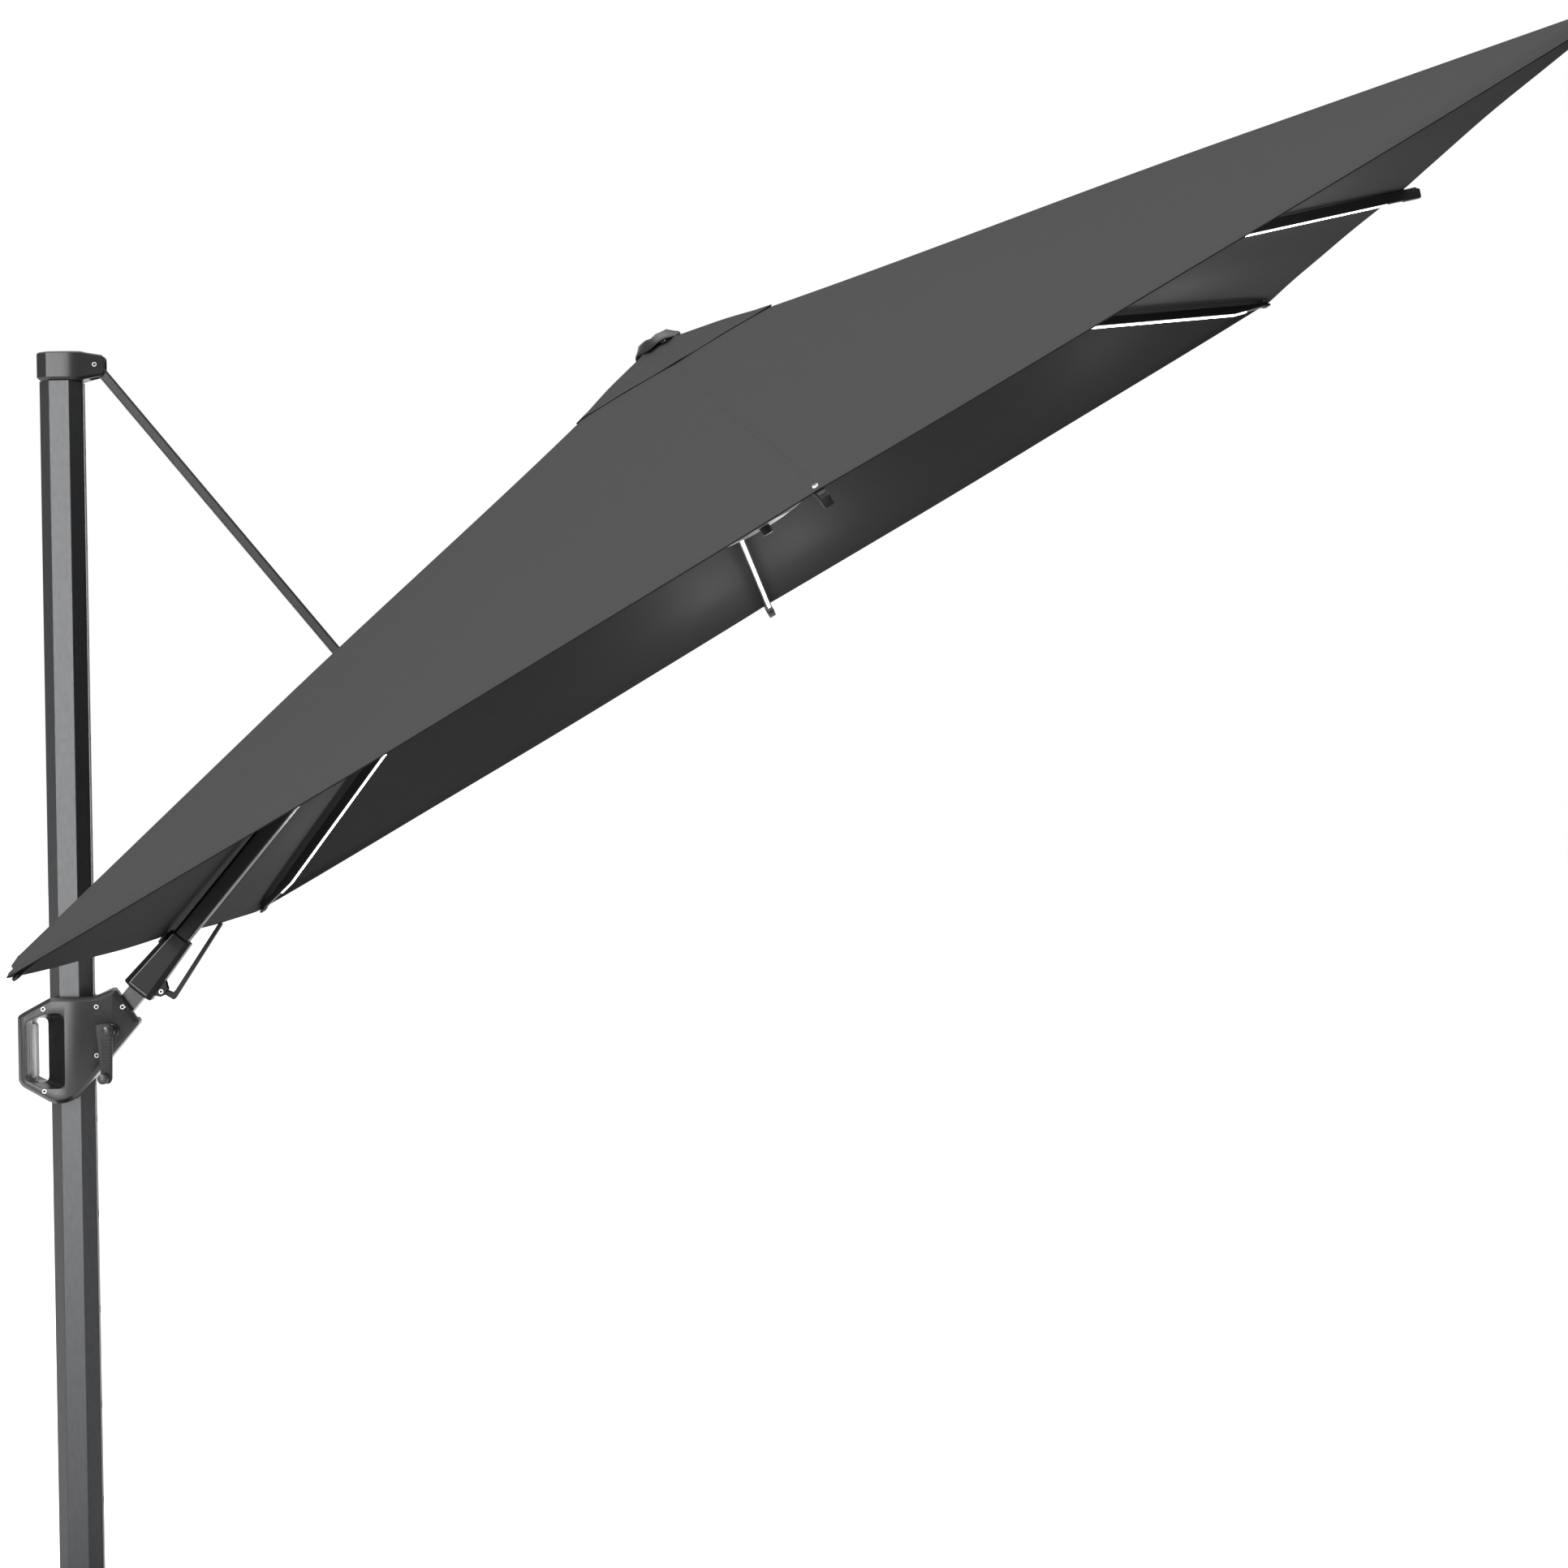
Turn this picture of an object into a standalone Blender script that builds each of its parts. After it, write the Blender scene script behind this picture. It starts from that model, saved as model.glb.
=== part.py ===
"""Cantilever parasol: octagonal mast on a ballasted cross base, a sliding height
housing with crank, a pivoting arm under a strut, and a square eight-rib canopy
hung from the arm's end.  Metres, +Z up, mast axis on the world Z axis, ground at z = 0.
The parasol is modelled at its most tilted setting.
"""

import math

import bmesh
import bpy
import numpy as np
from mathutils import Matrix, Vector

# ---------------------------------------------------------------- dimensions
GAP = 0.0003                      # clearance between touching pieces

# base
BASE_SPAN = 1.0
BEAM_W, BEAM_H = 0.050, 0.050
SLAB = 0.460
SLAB_H = 0.045
PLATE = 0.180
PLATE_T = 0.008

# mast: octagon, two wide side flats, two narrow end faces
MAST_X, MAST_Y = 0.0435, 0.0310   # half sizes
FLAT_X, FLAT_Y = 0.0205, 0.0090   # half widths of the side flats and end faces
MAST_WALL = 0.0022
MAST_Z0, MAST_Z1 = 0.0680, 2.6587
RAIL_PITCH = 0.1953
RAIL_TOP_HOLE = 2.5140

# strut
STRUT_A = Vector((0.071, 0.0, 2.691))
STRUT_DEG = -50.98
STRUT_LEN = 0.889

# slider and arm
ARM_P0 = Vector((0.110, 0.0, 1.377))
ARM_DEG = 50.10
ARM_TOP = 1.600
HOUSING_Y = 0.060

# canopy
CANOPY_C = Vector((1.482, 0.0, 2.270))
CANOPY_DEG = 30.10
HALF = 1.500
RISE = 0.515
FABRIC = 0.0012
VENT_OPEN = 0.170
VENT_HALF = 0.223
HUB_U, HUB_N = -0.066, 0.476      # canopy hinge at the arm's end
PIVOT_R, PIVOT_N = 0.055, 0.470   # rib pivots on the crown
RIB_TIP_N = -0.014                # a middle rib's centre line under the hem
CORNER_TIP_N = -0.0175            # a corner rib's, under the ridge
RIB_W, RIB_H = 0.014, 0.022
RIB_OVER = 0.026                  # how far a rib's end cap passes the hem
RUN_R, RUN_N = 0.050, 0.122       # stretcher pivots on the lower hub
FOLD_DEG = 57.0
STAY_AT = 0.750                   # where a stretcher meets a middle rib
STAY_OFF = 0.0130                 # sideways offset of the stretchers

# ---------------------------------------------------------------- clean start
for ob in list(bpy.data.objects):
    bpy.data.objects.remove(ob, do_unlink=True)

SCENE = bpy.context.scene.collection


def material(name, colour, rough, metal):
    m = bpy.data.materials.new(name)
    m.use_nodes = True
    b = m.node_tree.nodes["Principled BSDF"]
    b.inputs["Base Color"].default_value = (*colour, 1.0)
    b.inputs["Roughness"].default_value = rough
    b.inputs["Metallic"].default_value = metal
    return m


FINISH = {
    "mast": ((0.070, 0.072, 0.074), 0.42, 0.85),
    "dark_metal": ((0.020, 0.021, 0.023), 0.40, 0.70),
    "rail": ((0.080, 0.082, 0.086), 0.35, 0.90),
    "plastic": ((0.030, 0.031, 0.033), 0.50, 0.0),
    "trigger": ((0.200, 0.200, 0.205), 0.45, 0.0),
    "steel": ((0.550, 0.550, 0.560), 0.25, 1.0),
    "led": ((0.900, 0.900, 0.880), 0.30, 0.0),
    "fabric": ((0.110, 0.110, 0.112), 0.90, 0.0),
    "hub": ((0.450, 0.450, 0.460), 0.40, 0.0),
    "stone": ((0.320, 0.315, 0.305), 0.85, 0.0),
}


# ---------------------------------------------------------------- helpers
def frame(origin=(0, 0, 0), deg=0.0):
    """Frame at origin turned in the XZ plane so that its X axis climbs by deg."""
    a = math.radians(deg)
    m = Matrix(((math.cos(a), 0, -math.sin(a)), (0, 1, 0), (math.sin(a), 0, math.cos(a)))).to_4x4()
    return Matrix.Translation(Vector(origin)) @ m


def joint_empty(name, matrix):
    e = bpy.data.objects.new(name, None)
    e.empty_display_size = 0.05
    SCENE.objects.link(e)
    e.matrix_world = matrix
    return e


def add(name, bm, finish, parent, smooth=None, bevel=0.0, segments=2, limit=30.0):
    bmesh.ops.recalc_face_normals(bm, faces=bm.faces)
    me = bpy.data.meshes.new(name)
    bm.to_mesh(me)
    bm.free()
    ob = bpy.data.objects.new(name, me)
    SCENE.objects.link(ob)
    colour, rough, metal = FINISH[finish]
    me.materials.append(material(name + "_" + finish, colour, rough, metal))
    if smooth is not None:
        me.shade_smooth()
        me.set_sharp_from_angle(angle=math.radians(smooth))
    ob.parent = parent
    if bevel:
        m = ob.modifiers.new("edge", "BEVEL")
        m.width = bevel
        m.segments = segments
        m.limit_method = "ANGLE"
        m.angle_limit = math.radians(limit)
        m.use_clamp_overlap = True
    return ob


def guide(name, bm, parent):
    bmesh.ops.recalc_face_normals(bm, faces=bm.faces)
    me = bpy.data.meshes.new(name)
    bm.to_mesh(me)
    bm.free()
    ob = bpy.data.objects.new(name, me)
    SCENE.objects.link(ob)
    ob.parent = parent
    ob.hide_render = True
    ob.display_type = "WIRE"
    return ob


def boolean(ob, other, operation="DIFFERENCE"):
    m = ob.modifiers.new(operation.lower() + "_" + other.name, "BOOLEAN")
    m.operation = operation
    m.object = other
    m.solver = "EXACT"


def rings(loops, closed=False):
    """A body lofted through equal loops of points; capped, or closed on itself."""
    bm = bmesh.new()
    rows = [[bm.verts.new(p) for p in loop] for loop in loops]
    n = len(rows[0])
    pairs = list(zip(rows, rows[1:]))
    if closed:
        pairs.append((rows[-1], rows[0]))
    for a, b in pairs:
        for i in range(n):
            j = (i + 1) % n
            bm.faces.new((a[i], a[j], b[j], b[i]))
    if not closed:
        bm.faces.new(rows[0][::-1])
        bm.faces.new(rows[-1])
    return bm


def prism_y(outline, y0, y1):
    return rings([[(x, y0, z) for x, z in outline], [(x, y1, z) for x, z in outline]])


def prism_x(outline, x0, x1):
    return rings([[(x0, y, z) for y, z in outline], [(x1, y, z) for y, z in outline]])


def prism_z(outline, z0, z1):
    return rings([[(x, y, z0) for x, y in outline], [(x, y, z1) for x, y in outline]])


def box(x0, x1, y0, y1, z0, z1):
    return prism_z([(x0, y0), (x1, y0), (x1, y1), (x0, y1)], z0, z1)


def merged(*parts):
    """Several separate bodies in one cutter mesh."""
    out = bmesh.new()
    for p in parts:
        me = bpy.data.meshes.new("part")
        bmesh.ops.recalc_face_normals(p, faces=p.faces)
        p.to_mesh(me)
        p.free()
        out.from_mesh(me)
        bpy.data.meshes.remove(me)
    return out


def circle(r, n=24, start=0.0, turn=2 * math.pi):
    return [(r * math.cos(start + turn * i / n), r * math.sin(start + turn * i / n)) for i in range(n)]


def lathe(profile, n=24, axis="Z", at=(0, 0, 0)):
    """Turned body from (radius, height) points; a radius of 0 closes an end."""
    loops = []
    for r, h in profile:
        loops.append([(r * math.cos(2 * math.pi * i / n), r * math.sin(2 * math.pi * i / n), h) for i in range(n)])
    bm = bmesh.new()
    rows = []
    for (r, h), loop in zip(profile, loops):
        rows.append([bm.verts.new((0, 0, h))] if r == 0 else [bm.verts.new(p) for p in loop])
    open_ends = profile[0][0] != 0 and profile[-1][0] != 0
    pairs = list(zip(rows, rows[1:])) + ([(rows[-1], rows[0])] if open_ends else [])
    for a, b in pairs:
        for i in range(n):
            j = (i + 1) % n
            if len(a) == 1:
                bm.faces.new((a[0], b[j], b[i]))
            elif len(b) == 1:
                bm.faces.new((a[i], a[j], b[0]))
            else:
                bm.faces.new((a[i], a[j], b[j], b[i]))
    if axis == "Y":
        bmesh.ops.transform(bm, verts=bm.verts, matrix=Matrix.Rotation(math.radians(-90), 4, "X"))
    if axis == "X":
        bmesh.ops.transform(bm, verts=bm.verts, matrix=Matrix.Rotation(math.radians(90), 4, "Y"))
    bmesh.ops.translate(bm, verts=bm.verts, vec=Vector(at))
    return bm


def rod(r, h0, h1, n=24, axis="Z", at=(0, 0, 0)):
    return lathe([(0, h0), (r, h0), (r, h1), (0, h1)], n, axis, at)


def octagon(hx, hy, cx, cy):
    """Octagon with half sizes hx, hy; cx, cy are the half widths of its flats."""
    return [(cx, -hy), (hx, -cy), (hx, cy), (cx, hy), (-cx, hy), (-hx, cy), (-hx, -cy), (-cx, -hy)]


def mast_outline(off):
    """The mast's octagon moved outwards by off (inwards if negative)."""
    k = math.hypot(MAST_X - FLAT_X, MAST_Y - FLAT_Y)
    nx, ny = (MAST_Y - FLAT_Y) / k, (MAST_X - FLAT_X) / k
    d = FLAT_X * nx + MAST_Y * ny + off
    hx, hy = MAST_X + off, MAST_Y + off
    return octagon(hx, hy, (d - hy * ny) / nx, (d - hx * nx) / ny)


def chamfered(hy, hz, c):
    return [(-hy, -hz + c), (-hy + c, -hz), (hy - c, -hz), (hy, -hz + c), (hy, hz - c), (hy - c, hz), (-hy + c, hz), (-hy, hz - c)]


def arc(cx, cz, r, a0, a1, n):
    return [(cx + r * math.cos(math.radians(a0 + (a1 - a0) * i / n)), cz + r * math.sin(math.radians(a0 + (a1 - a0) * i / n))) for i in range(n + 1)]


# ---------------------------------------------------------------- base
base = joint_empty("frame_base", Matrix())
h = BASE_SPAN / 2
w = BEAM_W / 2 + 0.0005
add("base_beam_long", prism_y([(-h, 0), (h, 0), (h, BEAM_H), (w, BEAM_H), (w, 0.025), (-w, 0.025), (-w, BEAM_H), (-h, BEAM_H)],
                              -BEAM_W / 2, BEAM_W / 2), "dark_metal", base, bevel=0.003, segments=1)
add("base_beam_cross", prism_x([(-h, 0), (-w, 0), (-w, 0.025 + GAP), (w, 0.025 + GAP), (w, 0), (h, 0), (h, BEAM_H), (-h, BEAM_H)],
                               -BEAM_W / 2, BEAM_W / 2), "dark_metal", base, bevel=0.003, segments=1)
p = PLATE / 2
c = 0.022
plate = [(-p, -p + c), (-p + c, -p), (p - c, -p), (p, -p + c), (p, p - c), (p - c, p), (-p + c, p), (-p, p - c)]
add("base_plate", prism_z(plate, BEAM_H + GAP, BEAM_H + GAP + PLATE_T), "dark_metal", base)
s0 = BEAM_W / 2 + 0.004
s1 = s0 + SLAB
for k, (sx, sy) in enumerate(((1, 1), (-1, 1), (-1, -1), (1, -1)), 1):
    q = [(s0 + 0.05, s0), (s1, s0), (s1, s1), (s0, s1), (s0, s0 + 0.05)]
    add(f"ballast_slab_{k}", prism_z([(x * sx, y * sy) for x, y in q], 0.0, SLAB_H), "stone", base, bevel=0.005, segments=2)
top = BEAM_H + 2 * GAP + PLATE_T
add("base_spindle", lathe([(0, top), (0.045, top), (0.045, top + 0.006), (0.022, top + 0.008), (0.022, 0.44), (0.019, 0.45), (0, 0.45)], 24),
    "steel", base, smooth=30)

# ---------------------------------------------------------------- mast
mast = joint_empty("axis_mast_swivel", Matrix())
outer, inner = mast_outline(0), mast_outline(-MAST_WALL)
add("mast_tube", rings([[(x, y, MAST_Z0) for x, y in outer], [(x, y, MAST_Z1) for x, y in outer],
                        [(x, y, MAST_Z1) for x, y in inner], [(x, y, MAST_Z0) for x, y in inner]], closed=True), "mast", mast)
rail = add("lock_rail", box(MAST_X + GAP, MAST_X + 0.0028, -0.006, 0.006, 0.160, 2.655), "rail", mast)
holes = [RAIL_TOP_HOLE - RAIL_PITCH * k for k in range(12)]
boolean(rail, guide("rail_holes", merged(*[box(MAST_X - 0.01, MAST_X + 0.02, -0.0030, 0.0030, z - 0.007, z + 0.007) for z in holes if z > 0.32]), mast))

foot = add("foot_socket", lathe([(0, 0.0670), (0.070, 0.0670), (0.073, 0.071), (0.073, 0.098), (0.058, 0.150), (0.056, 0.153), (0, 0.153)], 32),
           "plastic", mast, smooth=30)
boolean(foot, guide("foot_socket_bore", prism_z(mast_outline(0.0005), 0.05, 0.20), mast))

cap = add("top_cap", box(-0.0465, 0.056, -0.0345, 0.0345, 2.659, 2.718), "plastic", mast, bevel=0.006, segments=2)
ear = [(0.040, 2.664), (0.079, 2.666)] + arc(0.0745, 2.6905, 0.0195, -62, 62, 6) + [(0.079, 2.714), (0.040, 2.714)]
boolean(cap, guide("ear_near", prism_y(ear, -0.0190, -0.0122), mast), "UNION")
boolean(cap, guide("ear_far", prism_y(ear, 0.0122, 0.0190), mast), "UNION")
boolean(cap, guide("ear_bore", rod(0.0044, -0.03, 0.03, 16, "Y", STRUT_A), mast))
add("strut_pin_upper", lathe([(0, -0.0222), (0.0072, -0.0222), (0.0072, -0.0193), (0.0040, -0.0193), (0.0040, 0.0193), (0.0072, 0.0193), (0.0072, 0.0222), (0, 0.0222)],
                             16, "Y", STRUT_A), "steel", mast, smooth=30)

pedal = joint_empty("axis_pedal", Matrix.Translation((-0.080, 0, 0.086)))
add("foot_pedal", prism_y([(0.0045, -0.005), (0.0045, 0.005), (-0.020, 0.0055), (-0.068, 0.0035), (-0.072, 0.0005), (-0.070, -0.0025), (-0.020, -0.005)], -0.028, 0.028),
    "plastic", pedal, bevel=0.0015, segments=1)

# ---------------------------------------------------------------- slider housing
slider = joint_empty("axis_slider_lift", Matrix.Translation((0, 0, ARM_P0.z)))
slider_w = Matrix.Translation((0, 0, -ARM_P0.z))


def to_slider(bm):
    bmesh.ops.transform(bm, verts=bm.verts, matrix=slider_w)
    return bm


HOUSING = [(-0.0975, 1.364), (-0.0860, 1.3720), (-0.0360, 1.3985), (-0.0280, 1.4000), (0.0520, 1.3985), (0.0900, 1.4130), (0.0980, 1.4120),
           (0.1430, 1.3480), (0.1425, 1.3420), (0.0240, 1.2030), (0.0100, 1.1920), (-0.0070, 1.1860), (-0.0250, 1.1850), (-0.0380, 1.1890),
           (-0.0930, 1.2220), (-0.0990, 1.2320)]
LOOP = [(-0.0885, 1.236), (-0.0780, 1.2240), (-0.0620, 1.2220), (-0.0520, 1.2320), (-0.0520, 1.342), (-0.0610, 1.352), (-0.0800, 1.352), (-0.0885, 1.342)]
CRANK = (0.090, -0.0, 1.330)


def shrunk(outline, d):
    """The outline moved inwards by d, corner by corner."""
    n = len(outline)
    out = []
    for i in range(n):
        (x0, z0), (x1, z1), (x2, z2) = outline[i - 1], outline[i], outline[(i + 1) % n]
        a = Vector((x1 - x0, z1 - z0)).normalized()
        b = Vector((x2 - x1, z2 - z1)).normalized()
        na, nb = Vector((-a.y, a.x)), Vector((-b.y, b.x))
        m = (na + nb).normalized()
        s = d / max(0.35, m.dot(na))
        out.append((x1 + m.x * s, z1 + m.y * s))
    return out


area = sum(a[0] * b[1] - b[0] * a[1] for a, b in zip(HOUSING, HOUSING[1:] + HOUSING[:1]))
INWARD = 1.0 if area > 0 else -1.0
for side, name in ((-1, "housing_near"), (1, "housing_far")):
    o1, o2 = shrunk(HOUSING, INWARD * 0.0035), shrunk(HOUSING, INWARD * 0.0080)
    loops = [[(x, side * 0.0003, z) for x, z in HOUSING], [(x, side * 0.0500, z) for x, z in HOUSING],
             [(x, side * 0.0565, z) for x, z in o1], [(x, side * HOUSING_Y, z) for x, z in o2]]
    half = add(name, to_slider(rings(loops)), "plastic", slider)
    lo, hi = (-0.08, 0.002) if side < 0 else (-0.002, 0.08)
    cuts = [
        ("mast_way", prism_z(mast_outline(0.0015), 1.10, 1.50)),
        ("rail_way", box(0.040, 0.0490, -0.0085, 0.0085, 1.10, 1.50)),
        ("loop_way", prism_y(LOOP, lo, hi)),
        ("trigger_pocket", box(-0.0870, -0.0600, -0.0060, 0.0060, 1.208, 1.366)),
        ("mouth", prism_y([(0.0885, 1.354), (0.170, 1.354), (0.170, 1.440), (0.0885, 1.440)], -0.0217, 0.0217)),
        ("bolt_way", box(0.0440, 0.0860, -0.0060, 0.0060, 1.3340, 1.3500)),
        ("pin_way", rod(0.0069, -0.08, 0.08, 20, "Y", ARM_P0)),
    ]
    if side < 0:
        cuts.append(("drum_way", rod(0.0150, -0.0490, 0.0010, 20, "Y", CRANK)))
        cuts.append(("shaft_way", rod(0.0072, -0.08, -0.03, 20, "Y", CRANK)))
    for label, bm in cuts:
        boolean(half, guide(f"{name}_{label}", to_slider(bm), slider))

add("arm_pin", to_slider(lathe([(0, -0.0632), (0.0085, -0.0632), (0.0095, -0.0622), (0.0095, -0.0603), (0.0065, -0.0603), (0.0065, 0.0603), (0.0095, 0.0603), (0.0095, 0.0622), (0.0085, 0.0632), (0, 0.0632)],
                               20, "Y", ARM_P0)), "steel", slider, smooth=30)

trigger = joint_empty("axis_trigger", Matrix.Translation((-0.0775, 0, 1.287)))
add("release_trigger", rings([[(x, y, z) for x, z in o] for y, o in (
    (-0.0140, [(-0.0012, -0.056), (0.0060, -0.049), (0.0060, 0.052), (0.0045, 0.058), (-0.0030, 0.058), (-0.0055, 0.0535), (-0.0055, -0.0500)]),
    (0.0140, [(-0.0012, -0.056), (0.0060, -0.049), (0.0060, 0.052), (0.0045, 0.058), (-0.0030, 0.058), (-0.0055, 0.0535), (-0.0055, -0.0500)]))]),
    "trigger", trigger, bevel=0.0012, segments=1)
tang = guide("trigger_tangs", box(-0.0035, 0.0040, -0.0045, 0.0045, -0.074, 0.076), trigger)
boolean(bpy.data.objects["release_trigger"], tang, "UNION")

bolt = joint_empty("axis_lock_bolt", Matrix.Translation((0.060, 0, 1.3420)))
add("lock_bolt", box(-0.0122, 0.0120, -0.0024, 0.0024, -0.0050, 0.0050), "steel", bolt, bevel=0.0008, segments=1)

crank = joint_empty("axis_crank", Matrix.Translation(CRANK))
lever = [(-0.0205, 0.0100), (-0.0180, 0.0165), (0.0030, 0.0185), (0.0075, 0.0130), (0.0068, -0.0900), (0.0052, -0.1000), (-0.0010, -0.1040), (-0.0090, -0.1035), (-0.0135, -0.0960)]
arm_c = add("crank_arm", prism_y(lever, -0.1140, -0.1000), "plastic", crank, bevel=0.0018, segments=2)
boolean(arm_c, guide("crank_shaft", merged(rod(0.0110, -0.1010, -0.0615, 20, "Y"),), crank), "UNION")
boolean(arm_c, guide("crank_spindle", rod(0.0060, -0.0700, -0.0120, 16, "Y"), crank), "UNION")
KNOB = (-0.0065, -0.0920)
boolean(arm_c, guide("knob_axle", rod(0.0036, -0.1270, -0.1100, 16, "Y", (KNOB[0], 0, KNOB[1])), crank), "UNION")
add("rope_drum", lathe([(0.0063, -0.0470), (0.0135, -0.0470), (0.0135, -0.0440), (0.0105, -0.0430), (0.0105, -0.0180), (0.0135, -0.0170), (0.0135, -0.0140), (0.0063, -0.0140)],
                       20, "Y"), "plastic", crank, smooth=30)
knob = joint_empty("axis_crank_knob", Matrix.Translation(Vector(CRANK) + Vector((KNOB[0], 0, KNOB[1]))))
add("crank_knob", lathe([(0, -0.1360), (0.0080, -0.1360), (0.0100, -0.1345), (0.0108, -0.1320), (0.0100, -0.1180), (0.0105, -0.1145), (0.0039, -0.1145), (0.0039, -0.1275), (0, -0.1275)],
                        24, "Y"), "plastic", knob, smooth=40)

# ---------------------------------------------------------------- arm
stub_f = joint_empty("axis_arm_lift", frame(ARM_P0, ARM_DEG))
stub = add("arm_stub", prism_y(arc(0, 0, 0.0190, 90, 270, 10) + [(0.0385, -0.0190), (0.0385, 0.0190)], -0.0205, 0.0205), "mast", stub_f)
boolean(stub, guide("roll_spigot", rod(0.0150, 0.0300, 0.1050, 24, "X"), stub_f), "UNION")
boolean(stub, guide("stub_bore", rod(0.0069, -0.05, 0.05, 20, "Y"), stub_f))

arm = joint_empty("axis_arm_roll", frame(ARM_P0, ARM_DEG))
sleeve_o = [[(x, y, z) for y, z in chamfered(hy, hz, ch)] for x, hy, hz, ch in
            ((0.0390, 0.0270, 0.0300, 0.010), (0.0415, 0.0300, 0.0335, 0.011), (0.1790, 0.0265, 0.0250, 0.009), (0.1810, 0.0250, 0.0235, 0.008))]
sleeve = add("tilt_sleeve", rings(sleeve_o), "plastic", arm)
boolean(sleeve, guide("sleeve_spigot_way", rod(0.0153, 0.030, 0.1056, 24, "X"), arm))
boolean(sleeve, guide("sleeve_arm_way", prism_x(chamfered(0.0214, 0.0184, 0.0052), 0.1120, 0.200), arm))
lug = [(0.052, -0.028), (0.094, -0.026), (0.080, -0.0455), (0.069, -0.0480), (0.060, -0.0450)]
boolean(sleeve, guide("lever_lug_near", prism_y(lug, -0.0160, -0.0100), arm), "UNION")
boolean(sleeve, guide("lever_lug_far", prism_y(lug, 0.0100, 0.0160), arm), "UNION")

top0, top1 = 0.0180, 0.0030
arm_rows = []
for inset in (0.0, 0.0020):
    rows_ = []
    for x, zt in ((0.1125, top0), (0.800, top0), (ARM_TOP, top1)):
        hz = (zt + 0.0180) / 2 - inset
        zc = (zt - 0.0180) / 2
        rows_.append([(x, y, z + zc) for y, z in chamfered(0.0210 - inset, hz, 0.0050 - inset * 0.6)])
    arm_rows.append(rows_)
add("arm_tube", rings(arm_rows[0] + arm_rows[1][::-1], closed=True), "mast", arm)


def hub_in_arm():
    """The canopy hinge in the arm's own frame."""
    hub = frame(CANOPY_C, CANOPY_DEG) @ Vector((HUB_U, 0, HUB_N))
    return frame(ARM_P0, ARM_DEG).inverted() @ hub


HA = hub_in_arm()
zc1 = (top1 - 0.0180) / 2
fit = add("arm_end_fitting", rings([[(x, y, z + zc1) for y, z in chamfered(hy, hz, ch)] for x, hy, hz, ch in (
    (ARM_TOP - 0.050, 0.0186, 0.0078, 0.003), (ARM_TOP + 0.0003, 0.0186, 0.0078, 0.003), (ARM_TOP + 0.0006, 0.0210, 0.0105, 0.004), (ARM_TOP + 0.022, 0.0190, 0.0105, 0.004),
    (ARM_TOP + 0.030, 0.0090, 0.0095, 0.003))]), "dark_metal", arm)
tongue = [(ARM_TOP + 0.015, HA.z + 0.0105), (ARM_TOP + 0.015, HA.z - 0.0105)] + arc(HA.x, HA.z, 0.0105, -90, 90, 8)
boolean(fit, guide("end_tongue", prism_y(tongue, -0.0070, 0.0070), arm), "UNION")
add("edge_clip", prism_y([(0.1440, 0.0272), (0.1700, 0.0256), (0.1700, 0.0290), (0.1640, 0.0308), (0.1440, 0.0308)], -0.0160, 0.0160), "plastic", arm)

LEVER_AT = Vector((0.0690, 0, -0.0390))
tilt = joint_empty("axis_tilt_lever", frame(ARM_P0, ARM_DEG) @ Matrix.Translation(LEVER_AT))
lev = [(-0.0060, -0.0060), (-0.0010, -0.0085), (0.0020, -0.0300), (0.0085, -0.0305), (0.1830, -0.0100), (0.1865, -0.0060), (0.1840, -0.0020),
       (0.0200, -0.0200), (0.0125, -0.0195), (0.0085, -0.0050), (0.0060, 0.0030), (0.0000, 0.0058), (-0.0055, 0.0025)]
add("tilt_lever", prism_y(lev, -0.0095, 0.0095), "plastic", tilt, bevel=0.0012, segments=1)

# ---------------------------------------------------------------- strut
strut = joint_empty("axis_strut_swing", frame(STRUT_A, STRUT_DEG))
so, si = chamfered(0.0110, 0.0100, 0.0032), chamfered(0.0094, 0.0084, 0.0024)
tube = add("strut_tube", rings([[(-0.0095, y, z) for y, z in so], [(0.7970, y, z) for y, z in so],
                                [(0.7970, y, z) for y, z in si], [(-0.0095, y, z) for y, z in si]], closed=True), "mast", strut)
boolean(tube, guide("strut_bore", rod(0.0044, -0.03, 0.03, 16, "Y"), strut))
fork = add("strut_fork", box(0.7700, 0.8150, -0.0360, 0.0360, -0.0125, 0.0125), "dark_metal", strut, bevel=0.003, segments=1)
boolean(fork, guide("fork_socket", prism_x(chamfered(0.0114, 0.0104, 0.0033), 0.75, 0.7973), strut))
cheek = [(0.8000, -0.0115), (0.8000, 0.0115), (STRUT_LEN, 0.0115)] + arc(STRUT_LEN, 0, 0.0115, 78, -78, 6) + [(STRUT_LEN, -0.0115)]
boolean(fork, guide("cheek_near", prism_y(cheek, -0.0355, -0.0300), strut), "UNION")
boolean(fork, guide("cheek_far", prism_y(cheek, 0.0300, 0.0355), strut), "UNION")
boolean(fork, guide("fork_bore", rod(0.0050, -0.05, 0.05, 16, "Y", (STRUT_LEN, 0, 0)), strut))
for side, name in ((-1, "fork_screw_near"), (1, "fork_screw_far")):
    prof = [(0, 0.0250), (0.0046, 0.0250), (0.0046, 0.0358), (0.0090, 0.0358), (0.0090, 0.0385), (0.0070, 0.0400), (0, 0.0400)]
    add(name, lathe([(r, side * hh) for r, hh in (prof if side > 0 else prof)], 16, "Y", (STRUT_LEN, 0, 0)), "steel", strut, smooth=30)

# ---------------------------------------------------------------- canopy
canopy_w = frame(CANOPY_C, CANOPY_DEG)
hub = joint_empty("axis_canopy_fold", canopy_w @ Matrix.Translation((HUB_U, 0, HUB_N)))
OFF = Vector((-HUB_U, 0, -HUB_N))


def to_hub(bm):
    bmesh.ops.translate(bm, verts=bm.verts, vec=OFF)
    return bm


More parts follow.
